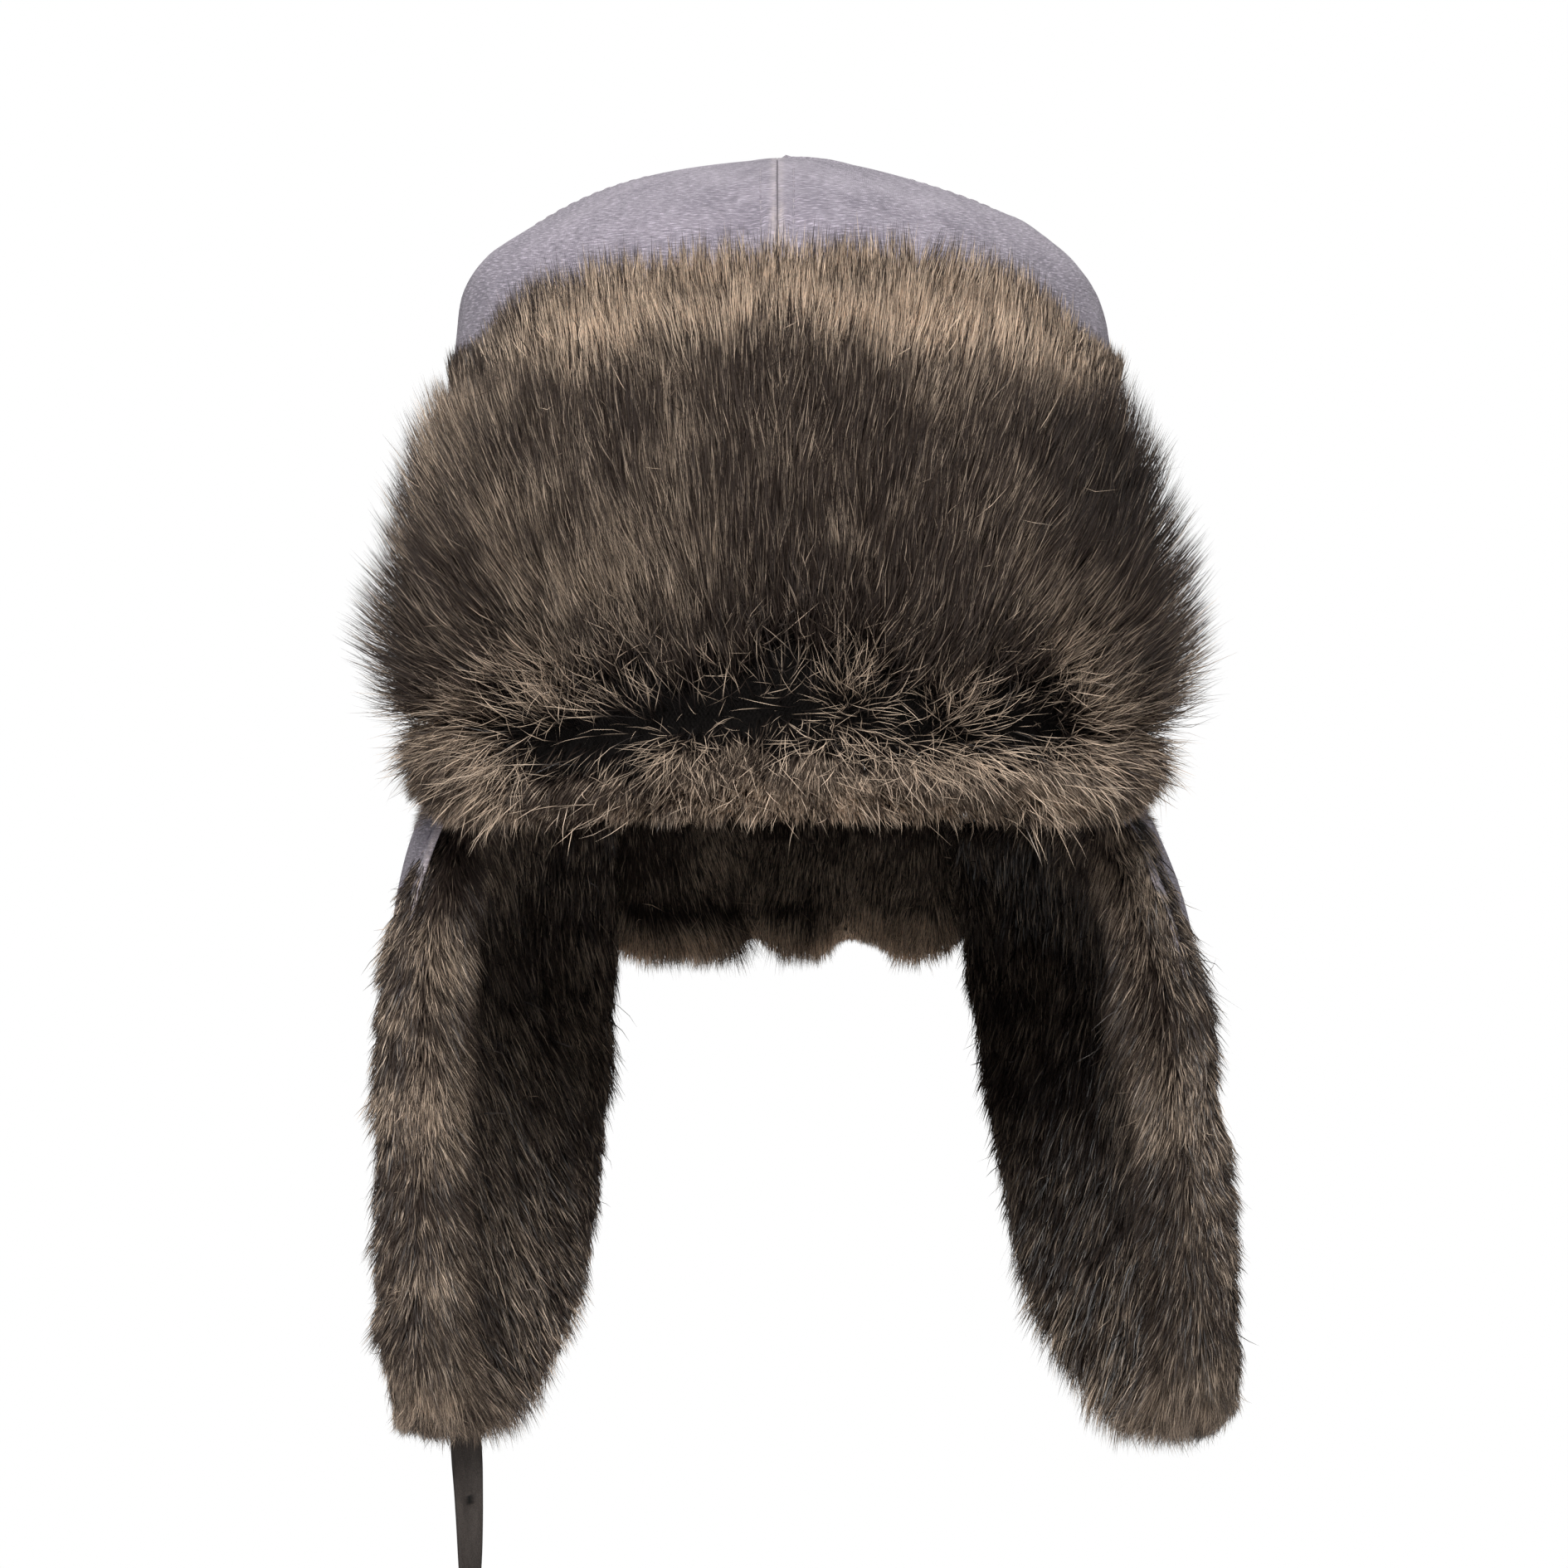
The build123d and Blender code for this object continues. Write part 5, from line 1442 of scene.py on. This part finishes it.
# the fur that rolls round the flap's edge and hides the canvas turned in there
def edge_hair(name, surf, count, seed, body, top):
    rng = np.random.default_rng(seed)
    b = resample(ear_border, 1200)
    mid = b.mean(0)
    tan = unit(np.roll(b, -1, 0) - np.roll(b, 1, 0))
    out2 = np.stack([tan[:, 1], -tan[:, 0]], 1)
    flip = ((b - mid) * out2).sum(1) < 0
    out2[flip] *= -1
    w = smooth(top + 6, top - 8, b[:, 1]) * smooth(0.75, 0.35, out2[:, 1])
    i = rng.choice(len(b), count, p=w / w.sum())
    q = b[i] + tan[i] * rng.uniform(-0.5, 0.5, (count, 1)) * 0.5
    d = 0.15 + 6.6 * rng.random(count) ** 1.15
    inset = 0.35 + 0.9 * rng.random(count)
    over = (rng.random(count) < 0.34) & (q[:, 0] < 24)
    inset = np.where(over, 0.6 + 9.0 * rng.random(count), inset)
    d = np.where(over, -0.15, d)
    P = surf(q[:, 0] - out2[i, 0] * inset, q[:, 1] - out2[i, 1] * inset, d)
    A = surf(q[:, 0], q[:, 1], d)
    E = unit(surf(q[:, 0] + out2[i, 0], q[:, 1] + out2[i, 1], d) - A)
    F = unit(A - surf(q[:, 0], q[:, 1], d + 1.0))
    a = np.radians(np.interp(d, [0, 2.2, 6.8], [40, 25, 0]))
    N = unit(E * np.cos(a)[:, None] + F * np.sin(a)[:, None])
    N[over] = unit(F[over] + 0.25 * E[over])
    r = {"P": P + F * 0.25 * (d < 0.6)[:, None], "N": N, "grow": N}
    lock = noise(P, 7.0, seed + 5)
    comb = np.tile(DOWN, (count, 1)) + F * (0.24 + 0.30 * lock)[:, None]
    comb[over] = DOWN - 0.55 * E[over]
    comb = unit(comb - (comb * N).sum(1, keepdims=True) * N + 1e-6)
    comb = swing(N, comb, noise(P, 14.0, seed) * 0.30 + noise(P, 6.0, seed + 1) * 0.25)
    left_ = surf is flap_left
    L = rng.uniform(10.0, 15.0, count) * (1 + 0.26 * lock) * (1.0 if left_ else 0.55 + 0.45 * smooth(top + 2, top - 22, P[:, 2])) * (0.80 if left_ else 0.90)
    L = L * (1 - (0.25 if left_ else 0.50) * smooth(60, 100, q[:, 0]))
    if left_:
        L = L * (1 + 0.45 * blob(P[:, 1], P[:, 2], -48, -50, 16, 9))
    L = np.where(over, L * 1.05, L)
    lump = 8 * noise(P, 9.0, seed + 3)
    l0, l1 = np.radians(46 + 20 * over + lump), np.radians(75 + 12 * over + lump)
    width = rng.uniform(0.20, 0.35, count)
    guard = (rng.random(count) < 0.6) * rng.uniform(0.6, 1.0, count)
    # marking: lighter than the flaps' face fur, as painted light on the rim, and lighter towards the lower edge
    mark = 0.34 + 0.42 * noise(P, 20.0, 27) + 0.30 * noise(P, 8.0, 28) + 0.22 * noise(P, 3.4, 29) + 0.30 * smooth(-134, -166, P[:, 2])
    chance = np.clip(mark, 0.02, 0.98)
    bright = rng.random(count) < 0.14 + 0.75 * chance
    light = np.clip(np.where(bright, 0.40 + 0.52 * chance + rng.normal(0, 0.16, count), 0.03 + 0.1 * chance), 0, 1)
    wild = 0.12 + 0.6 * (rng.random(count) < 0.03)[:, None] * rng.random((count, 1))
    # the darkening: painted shade over the whole left flap's (+X) edge fur; the right flap's edge fur lighter towards
    # its lower edge
    return hair(name, r, L, comb, l0, l1, rng, light, guard, width, None, blend_to=body, tuft=70, pull=0.52, wild=wild, tone_and_painted_shading=0.44 if left_ else -0.25 * smooth(-140, -165, P[:, 2]))


edge_hair("ear_flap_right_edge_fur", flap_right, 30000, 251, "ear_flap_right", -23.0)
edge_hair("ear_flap_left_edge_fur", flap_left, 33000, 252, "ear_flap_left", 4.0)

for i, (side_, f) in enumerate(ear_ground.items()):
    node = (f"ear_flap_{side_}_fur",)
    bare = 26.0 if side_ == "right" else 0.0
    flap_hair(f"ear_flap_{side_}_under_fur", f, 30000, 201 + 10 * i, "under", f"ear_flap_{side_}", replace=node, bare_top=bare)
    flap_hair(f"ear_flap_{side_}_guard_fur_front", f, 32000, 202 + 10 * i, "guard", f"ear_flap_{side_}", part="front", replace=node, bare_top=bare)
    flap_hair(f"ear_flap_{side_}_guard_fur_rear", f, 26000, 203 + 10 * i, "guard", f"ear_flap_{side_}", part="rear", replace=node, bare_top=bare)
flap_hair("neck_curtain_guard_fur", curtain_ground, 30000, 231, "guard", "neck_curtain", replace=("neck_curtain_fur",))


# ---------------------------------------------------------------- leather and metal carried over from the CAD
for n, mat in (("stud_patch", PATCH), ("strap_anchor_patch", PATCH), ("strap_stud", BRASS), ("stud_patch_rivets", BRASS), ("strap_anchor_rivet", BRASS)):
    o = nodes[n]
    o.data.materials.clear()
    o.data.materials.append(mat)
    if mat is PATCH:
        b = o.modifiers.new("soft_edge", "BEVEL")
        b.width, b.segments, b.limit_method, b.angle_limit = 0.0004, 3, "ANGLE", math.radians(40)


# ---------------------------------------------------------------- stage and light
def stage_mesh():
    rr = np.concatenate([[0.0], np.linspace(0.1, 2.0, 20)]) * 1000
    th_ = np.linspace(0, 2 * np.pi, 97)[:-1]
    V = np.array([[0, 0, -385.0]] + [[r_ * math.cos(t_), r_ * math.sin(t_) , -385.0] for r_ in rr[1:] for t_ in th_])
    k_ = np.arange(96)
    tri = np.stack([np.zeros(96, int), 1 + k_, 1 + (k_ + 1) % 96], 1)
    quad = np.concatenate([np.stack([1 + j * 96 + k_, 1 + (j + 1) * 96 + k_, 1 + (j + 1) * 96 + (k_ + 1) % 96, 1 + j * 96 + (k_ + 1) % 96], 1) for j in range(19)])
    m = Nodes("paper_floor")
    co = m.add("TexCoord", out="Object")
    n = m.noise(co, 60.0, 3.0)
    m.set(Base_Color=m.mix(n, (0.72, 0.72, 0.725), (0.76, 0.76, 0.765)), Roughness=0.95, Specular_IOR_Level=0.1)
    ob = mesh_from("paper_floor", V, [quad, tri], material=m.m)


stage_mesh()


def area_light(name, place, target, size, watts, colour=(1, 1, 1)):
    l = bpy.data.lights.new(name, "AREA")
    l.shape, l.size, l.size_y = "RECTANGLE", size[0], size[1]
    l.energy, l.color = watts, colour
    o = bpy.data.objects.new(name, l)
    bpy.context.scene.collection.objects.link(o)
    o.location = place
    d = Vector(target) - Vector(place)
    o.rotation_euler = d.to_track_quat("-Z", "Y").to_euler()
    return o


area_light("key", (-0.25, -1.75, 1.15), (0, 0, 0.0), (1.0, 0.8), 40)
area_light("top", (0.1, -0.25, 1.6), (0, 0, 0), (1.3, 1.0), 14)
area_light("fill_left", (-1.7, -0.7, 0.35), (0, 0, -0.03), (0.8, 1.0), 2.0)
area_light("fill_right", (1.7, -0.7, 0.35), (0, 0, -0.03), (0.8, 1.0), 2.0)
area_light("behind", (0.3, 1.8, 0.9), (0, 0, 0), (1.2, 1.0), 9)

world = bpy.data.worlds.new("studio")
bpy.context.scene.world = world
world.use_nodes = True
wt = world.node_tree
bg = wt.nodes["Background"]
bg.inputs[0].default_value = (0.97, 0.98, 1.0, 1.0)
bg.inputs[1].default_value = 0.035
seen_bg = wt.nodes.new("ShaderNodeBackground")
seen_bg.inputs[0].default_value = (1.0, 1.0, 1.0, 1.0)
seen_bg.inputs[1].default_value = 1.0
path = wt.nodes.new("ShaderNodeLightPath")
blend_bg = wt.nodes.new("ShaderNodeMixShader")
wt.links.new(path.outputs["Is Camera Ray"], blend_bg.inputs[0])
wt.links.new(bg.outputs[0], blend_bg.inputs[1])
wt.links.new(seen_bg.outputs[0], blend_bg.inputs[2])
wt.links.new(blend_bg.outputs[0], wt.nodes["World Output"].inputs[0])
bpy.context.scene.view_settings.view_transform = "Standard"
